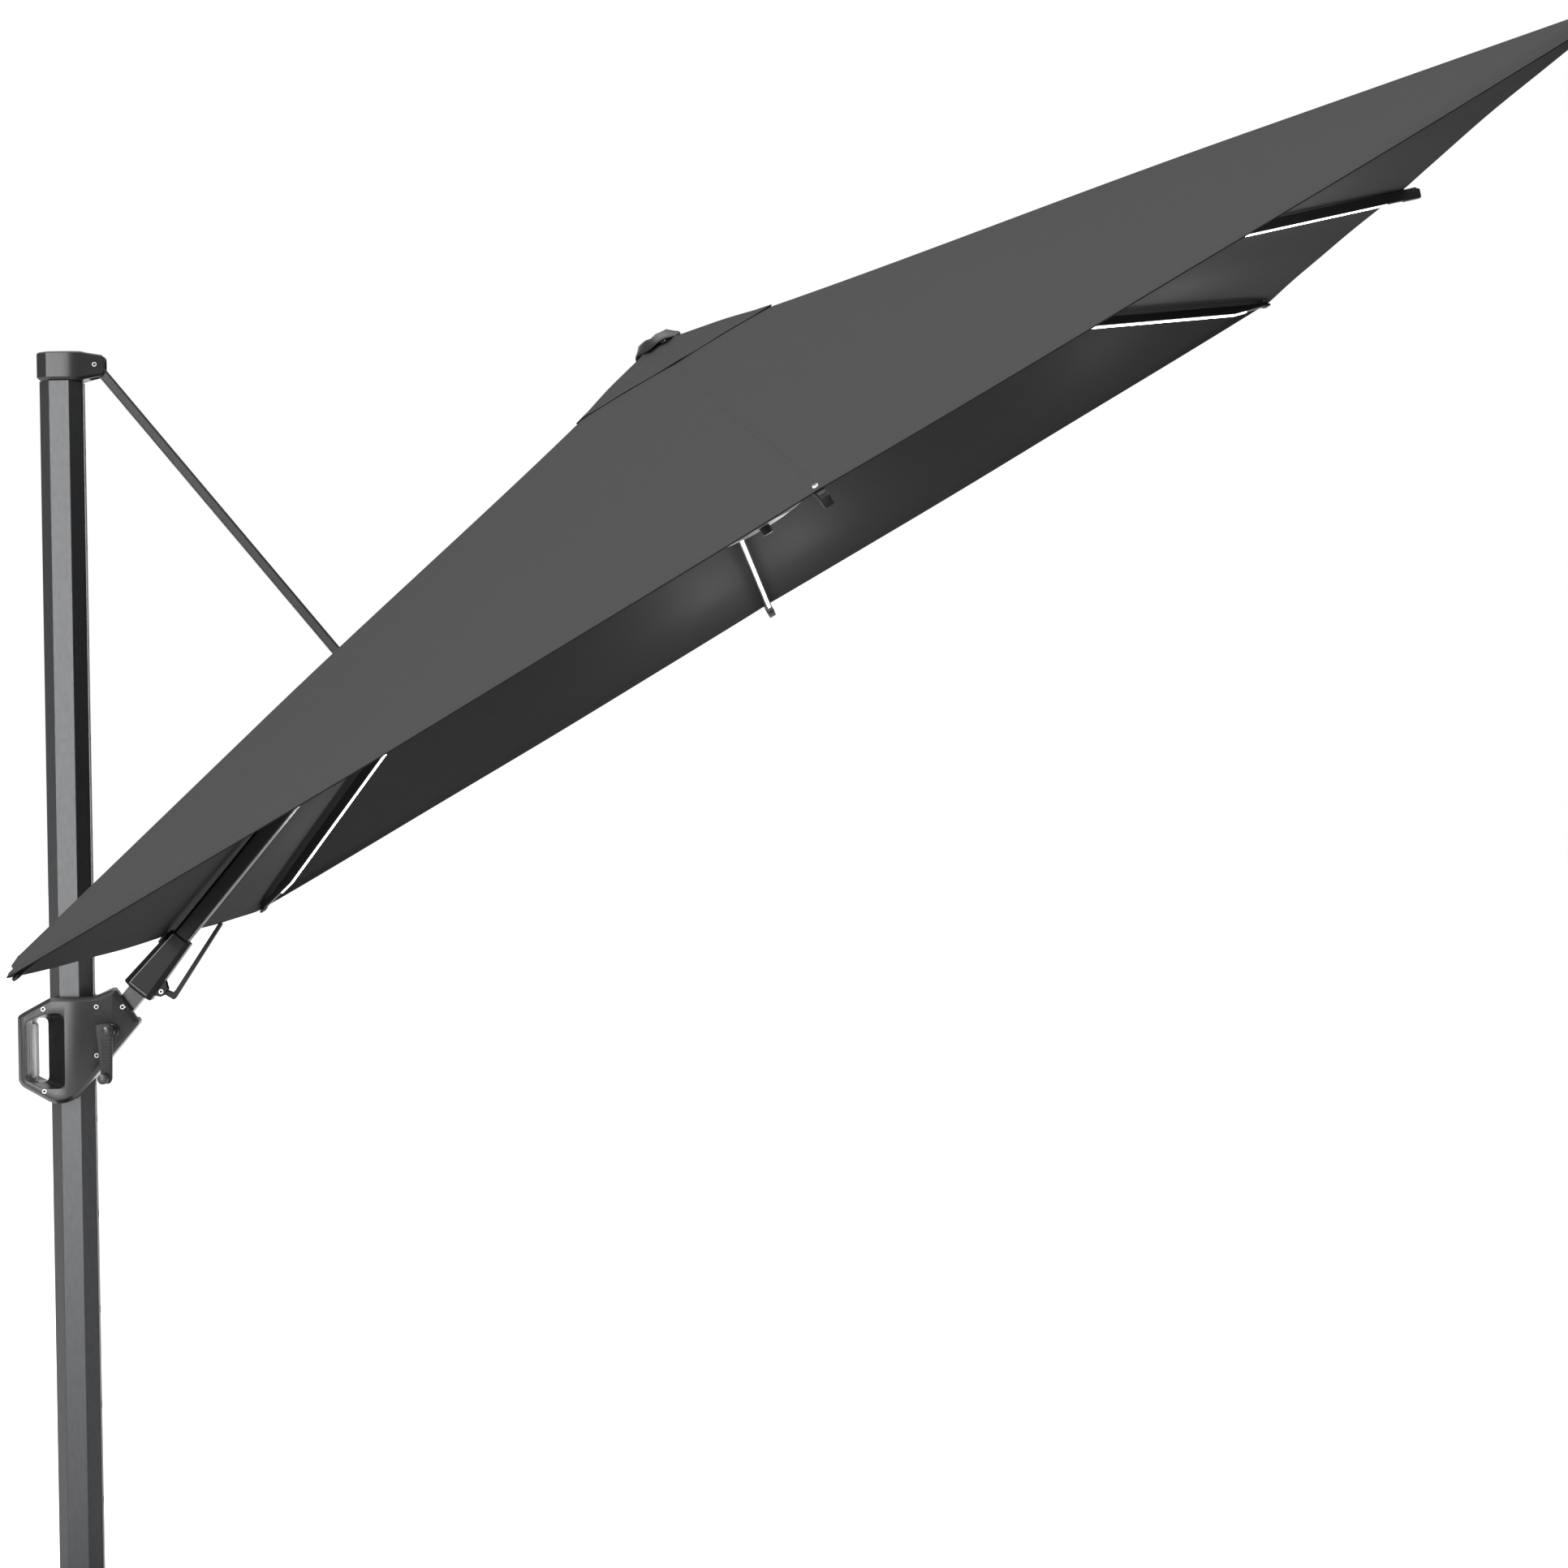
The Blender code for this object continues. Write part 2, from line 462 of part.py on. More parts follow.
crown_r, slot_r = 0.078, 0.0435
crown = add("hub_crown", to_hub(lathe([(0, 0.449), (0.068, 0.449), (crown_r, 0.455), (crown_r, 0.474), (0.070, 0.481), (0, 0.482)], 48)), "dark_metal", hub, smooth=25)
for k in range(8):
    a = k * math.pi / 4
    r0 = slot_r if k != 4 else 0.0545
    bm = box(r0, 0.10, -0.0074, 0.0074, 0.40, 0.52)
    bmesh.ops.transform(bm, verts=bm.verts, matrix=Matrix.Rotation(a, 4, "Z"))
    boolean(crown, guide(f"crown_slot_{k}", to_hub(bm), hub))


def skin(levels, cols, rise0, slope, slot=None, t=FABRIC):
    """A thin square pyramid skin. levels are half sizes of its square rings; cols are
    the positions along each side as shares; slot is (level index, share) to leave out."""
    bm = bmesh.new()
    n = len(cols) - 1
    around = []
    for side in range(4):
        a = side * math.pi / 2
        for c_ in cols[:-1]:
            around.append((math.cos(a) - c_ * math.sin(a), math.sin(a) + c_ * math.cos(a)))
    top, bottom = [], []
    for lv in levels:
        z = rise0 - slope * lv
        top.append([bm.verts.new((x * lv, y * lv, z)) for x, y in around])
        bottom.append([bm.verts.new((x * lv, y * lv, z - t)) for x, y in around])
    m = len(around)

    def missing(i, j):
        if slot is None or i != slot[0]:
            return False
        side, c0 = divmod(j % m, n)
        return side == 2 and abs(cols[c0]) <= slot[1] + 1e-6 and abs(cols[c0 + 1]) <= slot[1] + 1e-6

    for i in range(len(levels) - 1):
        for j in range(m):
            if missing(i, j):
                k = (j + 1) % m
                bm.faces.new((top[i][j], top[i][k], bottom[i][k], bottom[i][j]))
                bm.faces.new((top[i + 1][j], top[i + 1][k], bottom[i + 1][k], bottom[i + 1][j]))
                if not missing(i, j - 1):
                    bm.faces.new((top[i][j], bottom[i][j], bottom[i + 1][j], top[i + 1][j]))
                if not missing(i, j + 1):
                    bm.faces.new((top[i][k], bottom[i][k], bottom[i + 1][k], top[i + 1][k]))
                continue
            k = (j + 1) % m
            bm.faces.new((top[i][j], top[i][k], top[i + 1][k], top[i + 1][j]))
            bm.faces.new((bottom[i][j], bottom[i + 1][j], bottom[i + 1][k], bottom[i][k]))
    for j in range(m):
        k = (j + 1) % m
        bm.faces.new((top[-1][j], top[-1][k], bottom[-1][k], bottom[-1][j]))
        if levels[0] > 0:
            bm.faces.new((top[0][j], bottom[0][j], bottom[0][k], top[0][k]))
    return bm


add("canopy", to_hub(skin([VENT_OPEN, 0.500, 0.830, 0.960, 1.240, HALF], [-1, -0.5, -0.052, 0.052, 0.5, 1], RISE, RISE / HALF, slot=(2, 0.052))), "fabric", hub)
vt, vs = 0.523, (0.523 - 0.4445) / VENT_HALF
bm = bmesh.new()
ring_t = [(VENT_HALF * x, VENT_HALF * y) for x, y in ((1, -1), (1, 0), (1, 1), (0, 1), (-1, 1), (-1, 0), (-1, -1), (0, -1))]
tt = [bm.verts.new((x, y, vt - vs * VENT_HALF)) for x, y in ring_t]
bb = [bm.verts.new((x, y, vt - vs * VENT_HALF - FABRIC)) for x, y in ring_t]
ta, ba = bm.verts.new((0, 0, vt)), bm.verts.new((0, 0, vt - FABRIC))
for j in range(8):
    k = (j + 1) % 8
    bm.faces.new((ta, tt[j], tt[k]))
    bm.faces.new((ba, bb[k], bb[j]))
    bm.faces.new((tt[j], bb[j], bb[k], tt[k]))
add("vent_canopy", to_hub(bm), "fabric", hub)
add("finial", to_hub(lathe([(0, 0.5236), (0.050, 0.5122), (0.053, 0.5140), (0.050, 0.5200), (0.040, 0.5262), (0.015, 0.5325), (0, 0.5335)], 24)), "plastic", hub, smooth=40)

# lower hub with the stretchers' pivots
run = joint_empty("axis_lower_hub", canopy_w @ Matrix.Translation((0, 0, RUN_N)))
low = add("lower_hub", lathe([(0, -0.0340), (0.060, -0.0335), (0.092, -0.0290), (0.1000, -0.0240), (0.1000, -0.0205), (0.070, -0.0180), (0.070, 0.0080), (0.062, 0.0120), (0, 0.0120)], 48),
          "hub", run, smooth=25)
for k in range(8):
    off = STAY_OFF if k != 4 else 0.0275
    bm = box(0.0360, 0.12, off - 0.0056, off + 0.0056, -0.0160, 0.05)
    bmesh.ops.transform(bm, verts=bm.verts, matrix=Matrix.Rotation(k * math.pi / 4, 4, "Z"))
    boolean(low, guide(f"lower_slot_{k}", bm, run))
add("hub_knob", lathe([(0, -0.0510), (0.0100, -0.0510), (0.0120, -0.0490), (0.0120, -0.0343), (0, -0.0343)], 24), "plastic", run, smooth=30)


# ---------------------------------------------------------------- ribs, lights and stretchers
def rib_slope(k):
    tip = HALF * (math.sqrt(2) if k % 2 else 1.0)
    low_n = CORNER_TIP_N if k % 2 else RIB_TIP_N
    return math.atan2(PIVOT_N - low_n, tip - PIVOT_R), tip


def on_rib(pr, pn, slope, s):
    return Vector((pr + s * math.cos(slope), pn - s * math.sin(slope)))


mid_slope = rib_slope(0)[0]
END = mid_slope + math.radians(FOLD_DEG)
p_open = on_rib(PIVOT_R, PIVOT_N, mid_slope, STAY_AT)
stay_len = (p_open - Vector((RUN_R, RUN_N))).length
p_shut = on_rib(PIVOT_R, PIVOT_N, END, STAY_AT)
drop = RUN_N - (p_shut.y - math.sqrt(stay_len ** 2 - (p_shut.x - RUN_R) ** 2))


def stay_share(slope, end, pr, pn):
    """Where along a rib a stretcher must meet it so that the lower hub's travel suits both its ends."""
    def miss(s):
        a = (on_rib(pr, pn, slope, s) - Vector((RUN_R, RUN_N))).length
        b = (on_rib(pr, pn, end, s) - Vector((RUN_R, RUN_N - drop))).length
        return a - b
    lo_, hi_ = 0.4, 1.2
    for _ in range(60):
        mid = (lo_ + hi_) / 2
        if miss(lo_) * miss(mid) <= 0:
            hi_ = mid
        else:
            lo_ = mid
    return (lo_ + hi_) / 2


FACTS = {"drop": drop, "ratios": {}}
for k in [0, 1, 2, 3, 5, 6, 7]:
    n_ = k + 1 if k < 4 else k
    slope, tip = rib_slope(k)
    turn = canopy_w @ Matrix.Rotation(k * math.pi / 4, 4, "Z")
    pivot = turn @ Matrix.Translation((PIVOT_R, 0, PIVOT_N)) @ Matrix.Rotation(slope, 4, "Y")
    length = (tip - PIVOT_R) / math.cos(slope) + RIB_OVER
    ax = joint_empty(f"axis_rib_{n_}", pivot)
    hh = RIB_H / 2
    if k % 2:                     # a corner rib grows thinner towards its tip, so that the cover hides it
        length += -0.015 - RIB_OVER
        e0, e1, e2 = length - 0.160, length - 0.106, length - 0.015
        rise = (hh + 0.0050) / (e2 - e0)
        under = [(e0, -hh), (e2, 0.0050), (length, 0.0050)]
        z1 = -hh + (e1 - e0) * rise
        light = prism_y([(0.110, -hh - GAP - 0.0022), (e0, -hh - GAP - 0.0022), (e1, z1 - GAP - 0.0022), (e1, z1 - GAP), (e0, -hh - GAP), (0.110, -hh - GAP)], -0.0032, 0.0032)
    else:
        under = [(length - 0.004, -hh), (length, -hh + 0.004)]
        light = box(0.110, length - 0.070, -0.0032, 0.0032, -hh - GAP - 0.0022, -hh - GAP)
    add(f"rib_{n_}", prism_y(arc(0, 0, hh - 0.0005, 90, 270, 8) + under + [(length, hh - 0.006), (length - 0.006, hh)], -RIB_W / 2, RIB_W / 2),
        "dark_metal", ax)
    add(f"led_strip_{n_}", light, "led", ax)

for k in range(8):
    slope, tip = rib_slope(k)
    end = END
    pr, pn, off = PIVOT_R, PIVOT_N, STAY_OFF
    if k == 4:
        slope, end = math.radians(ARM_DEG - CANOPY_DEG), math.radians(ARM_DEG - CANOPY_DEG + FOLD_DEG)
        pr, pn, off = -HUB_U, HUB_N, 0.0275
    s = STAY_AT if k % 2 == 0 and k != 4 else stay_share(slope, end, pr, pn)
    tip_p = on_rib(pr, pn, slope, s)
    d = tip_p - Vector((RUN_R, RUN_N))
    ang = math.atan2(d.y, d.x)
    shut = on_rib(pr, pn, end, s) - Vector((RUN_R, RUN_N - drop))
    FACTS["ratios"][k] = (math.atan2(shut.y, shut.x) - ang) / math.radians(FOLD_DEG)
    turn = canopy_w @ Matrix.Rotation(k * math.pi / 4, 4, "Z")
    pivot = turn @ Matrix.Translation((RUN_R, off, RUN_N)) @ Matrix.Rotation(-ang, 4, "Y")
    ax = joint_empty(f"axis_stretcher_{k + 1}", pivot)
    L = d.length
    add(f"stretcher_{k + 1}", prism_y(arc(0, 0, 0.0075, 90, 270, 6) + arc(L, 0, 0.0075, -90, 90, 6), -0.0050, 0.0050), "dark_metal", ax)

bpy.context.view_layer.update()
print("lower hub travel", round(drop, 5), {k: round(v, 5) for k, v in FACTS["ratios"].items()})
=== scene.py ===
import math

import bmesh
import bpy
import numpy as np
from mathutils import Matrix, Vector


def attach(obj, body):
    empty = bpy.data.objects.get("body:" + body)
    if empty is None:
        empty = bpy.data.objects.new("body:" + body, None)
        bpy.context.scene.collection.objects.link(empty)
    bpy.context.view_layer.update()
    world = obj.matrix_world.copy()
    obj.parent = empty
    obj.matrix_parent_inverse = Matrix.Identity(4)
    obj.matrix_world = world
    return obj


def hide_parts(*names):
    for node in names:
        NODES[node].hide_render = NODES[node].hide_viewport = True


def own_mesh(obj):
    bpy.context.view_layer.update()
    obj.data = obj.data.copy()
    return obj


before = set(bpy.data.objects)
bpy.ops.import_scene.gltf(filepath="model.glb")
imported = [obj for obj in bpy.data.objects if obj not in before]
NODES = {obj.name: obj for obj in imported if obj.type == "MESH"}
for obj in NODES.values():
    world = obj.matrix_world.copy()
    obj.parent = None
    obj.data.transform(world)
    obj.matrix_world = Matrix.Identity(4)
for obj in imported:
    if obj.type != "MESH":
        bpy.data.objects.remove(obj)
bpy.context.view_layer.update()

scene = bpy.context.scene


def tilted(origin, deg):
    """A frame at origin whose X axis points deg above the horizontal, in the XZ plane."""
    return Matrix.Translation(origin) @ Matrix.Rotation(math.radians(-deg), 4, "Y")


CAN = tilted((1.482, 0, 2.270), 30.10)      # canopy: X right and up, Y away, Z out of the top
ARM = tilted((0.110, 0, 1.377), 50.10)
STRUT = tilted((0.071, 0, 2.691), -50.98)
HALF, RISE = 1.500, 0.515
SIDE_LIGHT = 0.42
VENT_OPEN, VENT_HALF = 0.170, 0.223
PIVOT_R, PIVOT_N = 0.055, 0.470
HUB_U, HUB_N = -0.066, 0.476
FOLD = 57.0
END = math.atan2(PIVOT_N + 0.014, HALF - PIVOT_R) + math.radians(FOLD)


# ------------------------------------------------------------------ materials
def material(name, base, rough, metal=0.0, spec=0.5, vary=0.08, scale=30.0, rough_vary=0.06,
             bump=0.0, bump_scale=900.0, grain=(1, 1, 1), coat=0.0, coat_rough=0.2, fleck=None, sheen=0.0):
    m = bpy.data.materials.new(name)
    m.use_nodes = True
    nt = m.node_tree
    b = nt.nodes["Principled BSDF"]
    b.inputs["Metallic"].default_value = metal
    b.inputs["Specular IOR Level"].default_value = spec
    b.inputs["Coat Weight"].default_value = coat
    b.inputs["Coat Roughness"].default_value = coat_rough
    b.inputs["Sheen Weight"].default_value = sheen
    tc = nt.nodes.new("ShaderNodeTexCoord")
    mp = nt.nodes.new("ShaderNodeMapping")
    mp.inputs["Scale"].default_value = grain
    nt.links.new(tc.outputs["Object"], mp.inputs["Vector"])

    def noise(sc, detail=3.0):
        n = nt.nodes.new("ShaderNodeTexNoise")
        n.inputs["Scale"].default_value = sc
        n.inputs["Detail"].default_value = detail
        nt.links.new(mp.outputs["Vector"], n.inputs["Vector"])
        return n

    n1 = noise(scale)
    ramp = nt.nodes.new("ShaderNodeValToRGB")
    lo = [max(0.0, c * (1 - vary)) for c in base]
    hi = [min(1.0, c * (1 + vary)) for c in base]
    ramp.color_ramp.elements[0].position, ramp.color_ramp.elements[1].position = 0.30, 0.70
    ramp.color_ramp.elements[0].color = (*lo, 1)
    ramp.color_ramp.elements[1].color = (*hi, 1)
    nt.links.new(n1.outputs["Fac"], ramp.inputs["Fac"])
    colour = ramp.outputs["Color"]
    if fleck:
        amount, fsc, fcol = fleck
        v = nt.nodes.new("ShaderNodeTexVoronoi")
        v.inputs["Scale"].default_value = fsc
        nt.links.new(mp.outputs["Vector"], v.inputs["Vector"])
        r2 = nt.nodes.new("ShaderNodeValToRGB")
        r2.color_ramp.elements[0].position, r2.color_ramp.elements[1].position = amount * 0.6, amount
        r2.color_ramp.elements[0].color, r2.color_ramp.elements[1].color = (1, 1, 1, 1), (0, 0, 0, 1)
        nt.links.new(v.outputs["Distance"], r2.inputs["Fac"])
        mix = nt.nodes.new("ShaderNodeMix")
        mix.data_type = "RGBA"
        nt.links.new(r2.outputs["Color"], mix.inputs["Factor"])
        nt.links.new(colour, mix.inputs[6])
        mix.inputs[7].default_value = (*fcol, 1)
        colour = mix.outputs[2]
    nt.links.new(colour, b.inputs["Base Color"])
    n2 = noise(scale * 2.7, 2.0)
    mr = nt.nodes.new("ShaderNodeMapRange")
    mr.inputs["To Min"].default_value = max(0.02, rough - rough_vary)
    mr.inputs["To Max"].default_value = min(1.0, rough + rough_vary)
    nt.links.new(n2.outputs["Fac"], mr.inputs["Value"])
    nt.links.new(mr.outputs["Result"], b.inputs["Roughness"])
    if bump > 0:
        n3 = noise(bump_scale, 2.0)
        bp = nt.nodes.new("ShaderNodeBump")
        bp.inputs["Strength"].default_value = bump
        bp.inputs["Distance"].default_value = 0.0006
        nt.links.new(n3.outputs["Fac"], bp.inputs["Height"])
        nt.links.new(bp.outputs["Normal"], b.inputs["Normal"])
    return m


def fabric(name, base, dark, spec=0.35, rough=0.86, seam=0.80):
    """Woven polyester. The point attribute "cloth" holds the two thread directions and the
    distance to the hem, and "seam" the distance to the nearest sewn seam, all in metres."""
    m = bpy.data.materials.new(name)
    m.use_nodes = True
    nt = m.node_tree
    b = nt.nodes["Principled BSDF"]
    b.inputs["Specular IOR Level"].default_value = spec
    b.inputs["Sheen Weight"].default_value = 0.0
    b.inputs["Sheen Roughness"].default_value = 0.6
    at = nt.nodes.new("ShaderNodeAttribute")
    at.attribute_name = "cloth"
    sm = nt.nodes.new("ShaderNodeAttribute")
    sm.attribute_name = "seam"
    sp = nt.nodes.new("ShaderNodeSeparateXYZ")
    nt.links.new(at.outputs["Vector"], sp.inputs[0])

    def math_(op, a, b_=None, c=None):
        n = nt.nodes.new("ShaderNodeMath")
        n.operation = op
        for i, x in enumerate((a, b_, c)):
            if x is None:
                continue
            if isinstance(x, (int, float)):
                n.inputs[i].default_value = x
            else:
                nt.links.new(x, n.inputs[i])
        return n.outputs[0]

    def noise_at(vec_scale, sc, detail=2.0):
        mp = nt.nodes.new("ShaderNodeMapping")
        mp.inputs["Scale"].default_value = vec_scale
        nt.links.new(at.outputs["Vector"], mp.inputs["Vector"])
        n = nt.nodes.new("ShaderNodeTexNoise")
        n.inputs["Scale"].default_value = sc
        n.inputs["Detail"].default_value = detail
        nt.links.new(mp.outputs["Vector"], n.inputs["Vector"])
        return n.outputs["Fac"]

    slub_x = noise_at((1, 26, 0), 22.0)
    slub_y = noise_at((26, 1, 0), 22.0)
    cloud = noise_at((1, 1, 0), 2.2, 3.0)
    mixed = math_("ADD", math_("MULTIPLY", math_("ADD", slub_x, slub_y), 0.35), math_("MULTIPLY", cloud, 0.30))
    ramp = nt.nodes.new("ShaderNodeValToRGB")
    ramp.color_ramp.elements[0].position, ramp.color_ramp.elements[1].position = 0.36, 0.64
    ramp.color_ramp.elements[0].color = (*[c * 0.955 for c in base], 1)
    ramp.color_ramp.elements[1].color = (*[c * 1.045 for c in base], 1)
    nt.links.new(mixed, ramp.inputs["Fac"])
    # two rows of hem stitching and the sewn seams, darker by a little
    line = 1.0
    for at_d, half_w in ((0.0275, 0.0010), (0.0060, 0.0010)):
        d = math_("ABSOLUTE", math_("SUBTRACT", sp.outputs["Z"], at_d))
        s = math_("LESS_THAN", d, half_w)
        line = math_("SUBTRACT", line, math_("MULTIPLY", s, 0.22))
    s = math_("LESS_THAN", math_("ABSOLUTE", math_("SUBTRACT", sm.outputs["Fac"], 0.0045)), 0.0008)
    line = math_("SUBTRACT", line, math_("MULTIPLY", s, 1 - seam))
    mix = nt.nodes.new("ShaderNodeMix")
    mix.data_type = "RGBA"
    nt.links.new(line, mix.inputs["Factor"])
    mix.inputs[6].default_value = (*dark, 1)
    nt.links.new(ramp.outputs["Color"], mix.inputs[7])
    nt.links.new(mix.outputs[2], b.inputs["Base Color"])
    mr = nt.nodes.new("ShaderNodeMapRange")
    mr.inputs["To Min"].default_value = rough - 0.05
    mr.inputs["To Max"].default_value = rough + 0.06
    nt.links.new(cloud, mr.inputs["Value"])
    nt.links.new(mr.outputs["Result"], b.inputs["Roughness"])
    weave = math_("MULTIPLY",
                  math_("SINE", math_("MULTIPLY", sp.outputs["X"], 2 * math.pi / 0.0014)),
                  math_("SINE", math_("MULTIPLY", sp.outputs["Y"], 2 * math.pi / 0.0014)))
    bp = nt.nodes.new("ShaderNodeBump")
    bp.inputs["Strength"].default_value = 0.25
    bp.inputs["Distance"].default_value = 0.0002
    nt.links.new(math_("ADD", weave, math_("MULTIPLY", line, 2.0)), bp.inputs["Height"])
    nt.links.new(bp.outputs["Normal"], b.inputs["Normal"])
    return m


M = {
    "mast": material("m_mast_powder", (0.062, 0.063, 0.065), 0.33, metal=0.80, vary=0.07, scale=160, bump=0.12, bump_scale=420, grain=(1, 1, 0.3)),
    "arm": material("m_arm_powder", (0.0055, 0.0060, 0.0070), 0.40, metal=0.25, spec=0.28, vary=0.06, scale=60, bump=0.10, bump_scale=420),
    "strut": material("m_strut_powder", (0.0085, 0.0088, 0.0092), 0.40, metal=0.3, vary=0.04, scale=20),
    "stub": material("m_stub_metal", (0.042, 0.042, 0.042), 0.34, metal=0.85, vary=0.05, scale=60, bump=0.10, bump_scale=420),
    "rail": material("m_rail", (0.110, 0.112, 0.115), 0.36, metal=0.8, vary=0.06, bump=0.1),
    "rib": material("m_rib", (0.0045, 0.0050, 0.0062), 0.48, metal=0.3, spec=0.3, vary=0.08, scale=80, bump=0.15),
    "dark": material("m_dark_metal", (0.018, 0.019, 0.020), 0.44, metal=0.55, vary=0.07, scale=50, bump=0.22, bump_scale=1200),
    "steel": material("m_steel", (0.62, 0.62, 0.61), 0.26, metal=1.0, vary=0.04, scale=120, rough_vary=0.08),
    "plastic": material("m_housing_plastic", (0.0105, 0.0105, 0.0108), 0.30, spec=0.56, vary=0.03, scale=40, bump=0.012, bump_scale=300),
    "plastic_dark": material("m_plastic_dark", (0.0055, 0.0055, 0.0060), 0.46, spec=0.20, vary=0.06, scale=70, bump=0.02, bump_scale=300),
    "sleeve": material("m_sleeve_plastic", (0.0045, 0.0045, 0.0048), 0.38, spec=0.20, vary=0.05, scale=70, bump=0.08, bump_scale=420),
    "lever": material("m_lever_plastic", (0.0190, 0.0190, 0.0193), 0.52, spec=0.30, vary=0.04, scale=40, bump=0.02, bump_scale=300),
    # painted highlight: a light grey for the thin lines laid along edges
    "edge": material("m_painted_edge_highlight", (0.30, 0.30, 0.30), 0.35, spec=0.6, vary=0.05, scale=70),
    "trigger": material("m_trigger", (0.800, 0.800, 0.804), 0.45, spec=0.5, vary=0.04, scale=70, bump=0.1),
    "hub": material("m_hub", (0.026, 0.026, 0.0272), 0.52, spec=0.20, vary=0.05, scale=60, bump=0.12),
    "stone": material("m_stone", (0.045, 0.045, 0.047), 0.62, spec=0.4, vary=0.25, scale=18, bump=0.5, bump_scale=260, fleck=(0.35, 120.0, (0.16, 0.16, 0.165))),
    "cloth": fabric("m_canopy_top", (0.0425, 0.0425, 0.0427), (0.015, 0.015, 0.015), spec=0.14),
    # painted shade: the same fabric as the top, made darker to stand in for the shade on the canopy's underside
    "underside_painted_shade": fabric("m_canopy_underside_painted_shade", (0.0104, 0.0104, 0.0106), (0.005, 0.005, 0.005), spec=0.10),
    "ring": material("m_ring", (0.86, 0.86, 0.86), 0.30, metal=0.35, vary=0.02, scale=200),
    # painted shade: near-black for the inside of screw sockets and rivet holes
    "socket_painted_shade": material("m_socket_painted_shade", (0.02, 0.02, 0.02), 0.6, vary=0.1),
    "floor": material("m_floor", (0.97, 0.97, 0.97), 0.75, spec=0.2, vary=0.004, scale=0.6, rough_vary=0.03),
}
M["floor"].node_tree.nodes["Principled BSDF"].inputs["Emission Color"].default_value = (1, 1, 1, 1)
ft = M["floor"].node_tree
fo = ft.nodes.new("ShaderNodeTexCoord")
fx = ft.nodes.new("ShaderNodeSeparateXYZ")
fm = ft.nodes.new("ShaderNodeMapRange")
fm.interpolation_type = "SMOOTHSTEP"
fm.inputs["From Min"].default_value, fm.inputs["From Max"].default_value = -0.60, 0.70
fm.inputs["To Min"].default_value, fm.inputs["To Max"].default_value = 0.04, 0.66
ft.links.new(fo.outputs["Object"], fx.inputs[0])
ft.links.new(fx.outputs["Y"], fm.inputs["Value"])
ft.links.new(fm.outputs["Result"], ft.nodes["Principled BSDF"].inputs["Emission Strength"])
led = material("m_led", (0.9, 0.9, 0.9), 0.4, vary=0.02, scale=300)
led.node_tree.nodes["Principled BSDF"].inputs["Emission Color"].default_value = (1, 1, 1, 1)
led.node_tree.nodes["Principled BSDF"].inputs["Emission Strength"].default_value = 8.0
M["led"] = led


# ------------------------------------------------------------------ CAD nodes that show as they are
def dress(node, mat, bevel=0.0, segments=2, angle=28):
    o = NODES[node]
    o.data.materials.clear()
    o.data.materials.append(M[mat])
    if bevel:
        w = o.modifiers.new("Weld", "WELD")
        w.merge_threshold = 0.00005
        b = o.modifiers.new("Bevel", "BEVEL")
        b.width = bevel
        b.segments = segments
        b.limit_method = "ANGLE"
        b.angle_limit = math.radians(angle)
        b.harden_normals = False
    return o


for name_, mat_, bev_ in (
        ("base_beam_long", "dark", 0.0020), ("base_beam_cross", "dark", 0.0020), ("base_plate", "dark", 0.0012), ("base_spindle", "steel", 0.0008),
        ("mast_tube", "mast", 0.0010), ("lock_rail", "rail", 0.0004), ("foot_socket", "dark", 0.0015), ("top_cap", "plastic", 0.0016),
        ("strut_pin_upper", "steel", 0.0004), ("foot_pedal", "plastic_dark", 0.0015), ("arm_pin", "steel", 0.0004),
        ("release_trigger", "trigger", 0.0008), ("lock_bolt", "steel", 0.0003), ("rope_drum", "plastic_dark", 0.0004),
        ("arm_stub", "stub", 0.0010), ("tilt_sleeve", "sleeve", 0.0014), ("arm_tube", "arm", 0.0010), ("arm_end_fitting", "dark", 0.0008),
        ("edge_clip", "plastic_dark", 0.0005), ("tilt_lever", "arm", 0.0012), ("strut_tube", "strut", 0.0010), ("strut_fork", "dark", 0.0008),
        ("fork_screw_near", "steel", 0.0003), ("fork_screw_far", "steel", 0.0003), ("hub_crown", "dark", 0.0008),
        ("crank_arm", "plastic", 0.0010), ("crank_knob", "plastic", 0.0008), ("housing_near", "plastic", 0.0016), ("housing_far", "plastic", 0.0016),
        ("lower_hub", "hub", 0.0008), ("hub_knob", "plastic_dark", 0.0006), ("finial", "plastic", 0.0006)):
    dress(name_, mat_, bev_)
for i_ in range(1, 5):
    dress(f"ballast_slab_{i_}", "stone", 0.0060, 3)
for i_ in range(1, 8):
    dress(f"rib_{i_}", "rib", 0.0010)
    dress(f"led_strip_{i_}", "led", 0.0004)
for i_ in range(1, 9):
    dress(f"stretcher_{i_}", "rib", 0.0008)


# ------------------------------------------------------------------ mesh helpers
def new_piece(name, verts, faces, mats, body, smooth=True, face_mat=None, loop_normals=None):
    me = bpy.data.meshes.new(name)
    me.from_pydata([tuple(v) for v in verts], [], faces)
    me.validate()
    for m_ in mats:
        me.materials.append(M[m_])
    if face_mat is not None:
        me.polygons.foreach_set("material_index", face_mat)
    me.polygons.foreach_set("use_smooth", [smooth] * len(me.polygons))
    me.update()
    if loop_normals is not None:
        me.normals_split_custom_set([tuple(x) for x in loop_normals])
    o = bpy.data.objects.new(name, me)
    scene.collection.objects.link(o)
    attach(o, body)
    return o


# ------------------------------------------------------------------ canopy surface
def smooth01(t):
    t = min(1.0, max(0.0, t))
    return t * t * (3 - 2 * t)


SCALLOP = {0: 0.020, 1: 0.004, 2: 0.002, 3: 0.004}


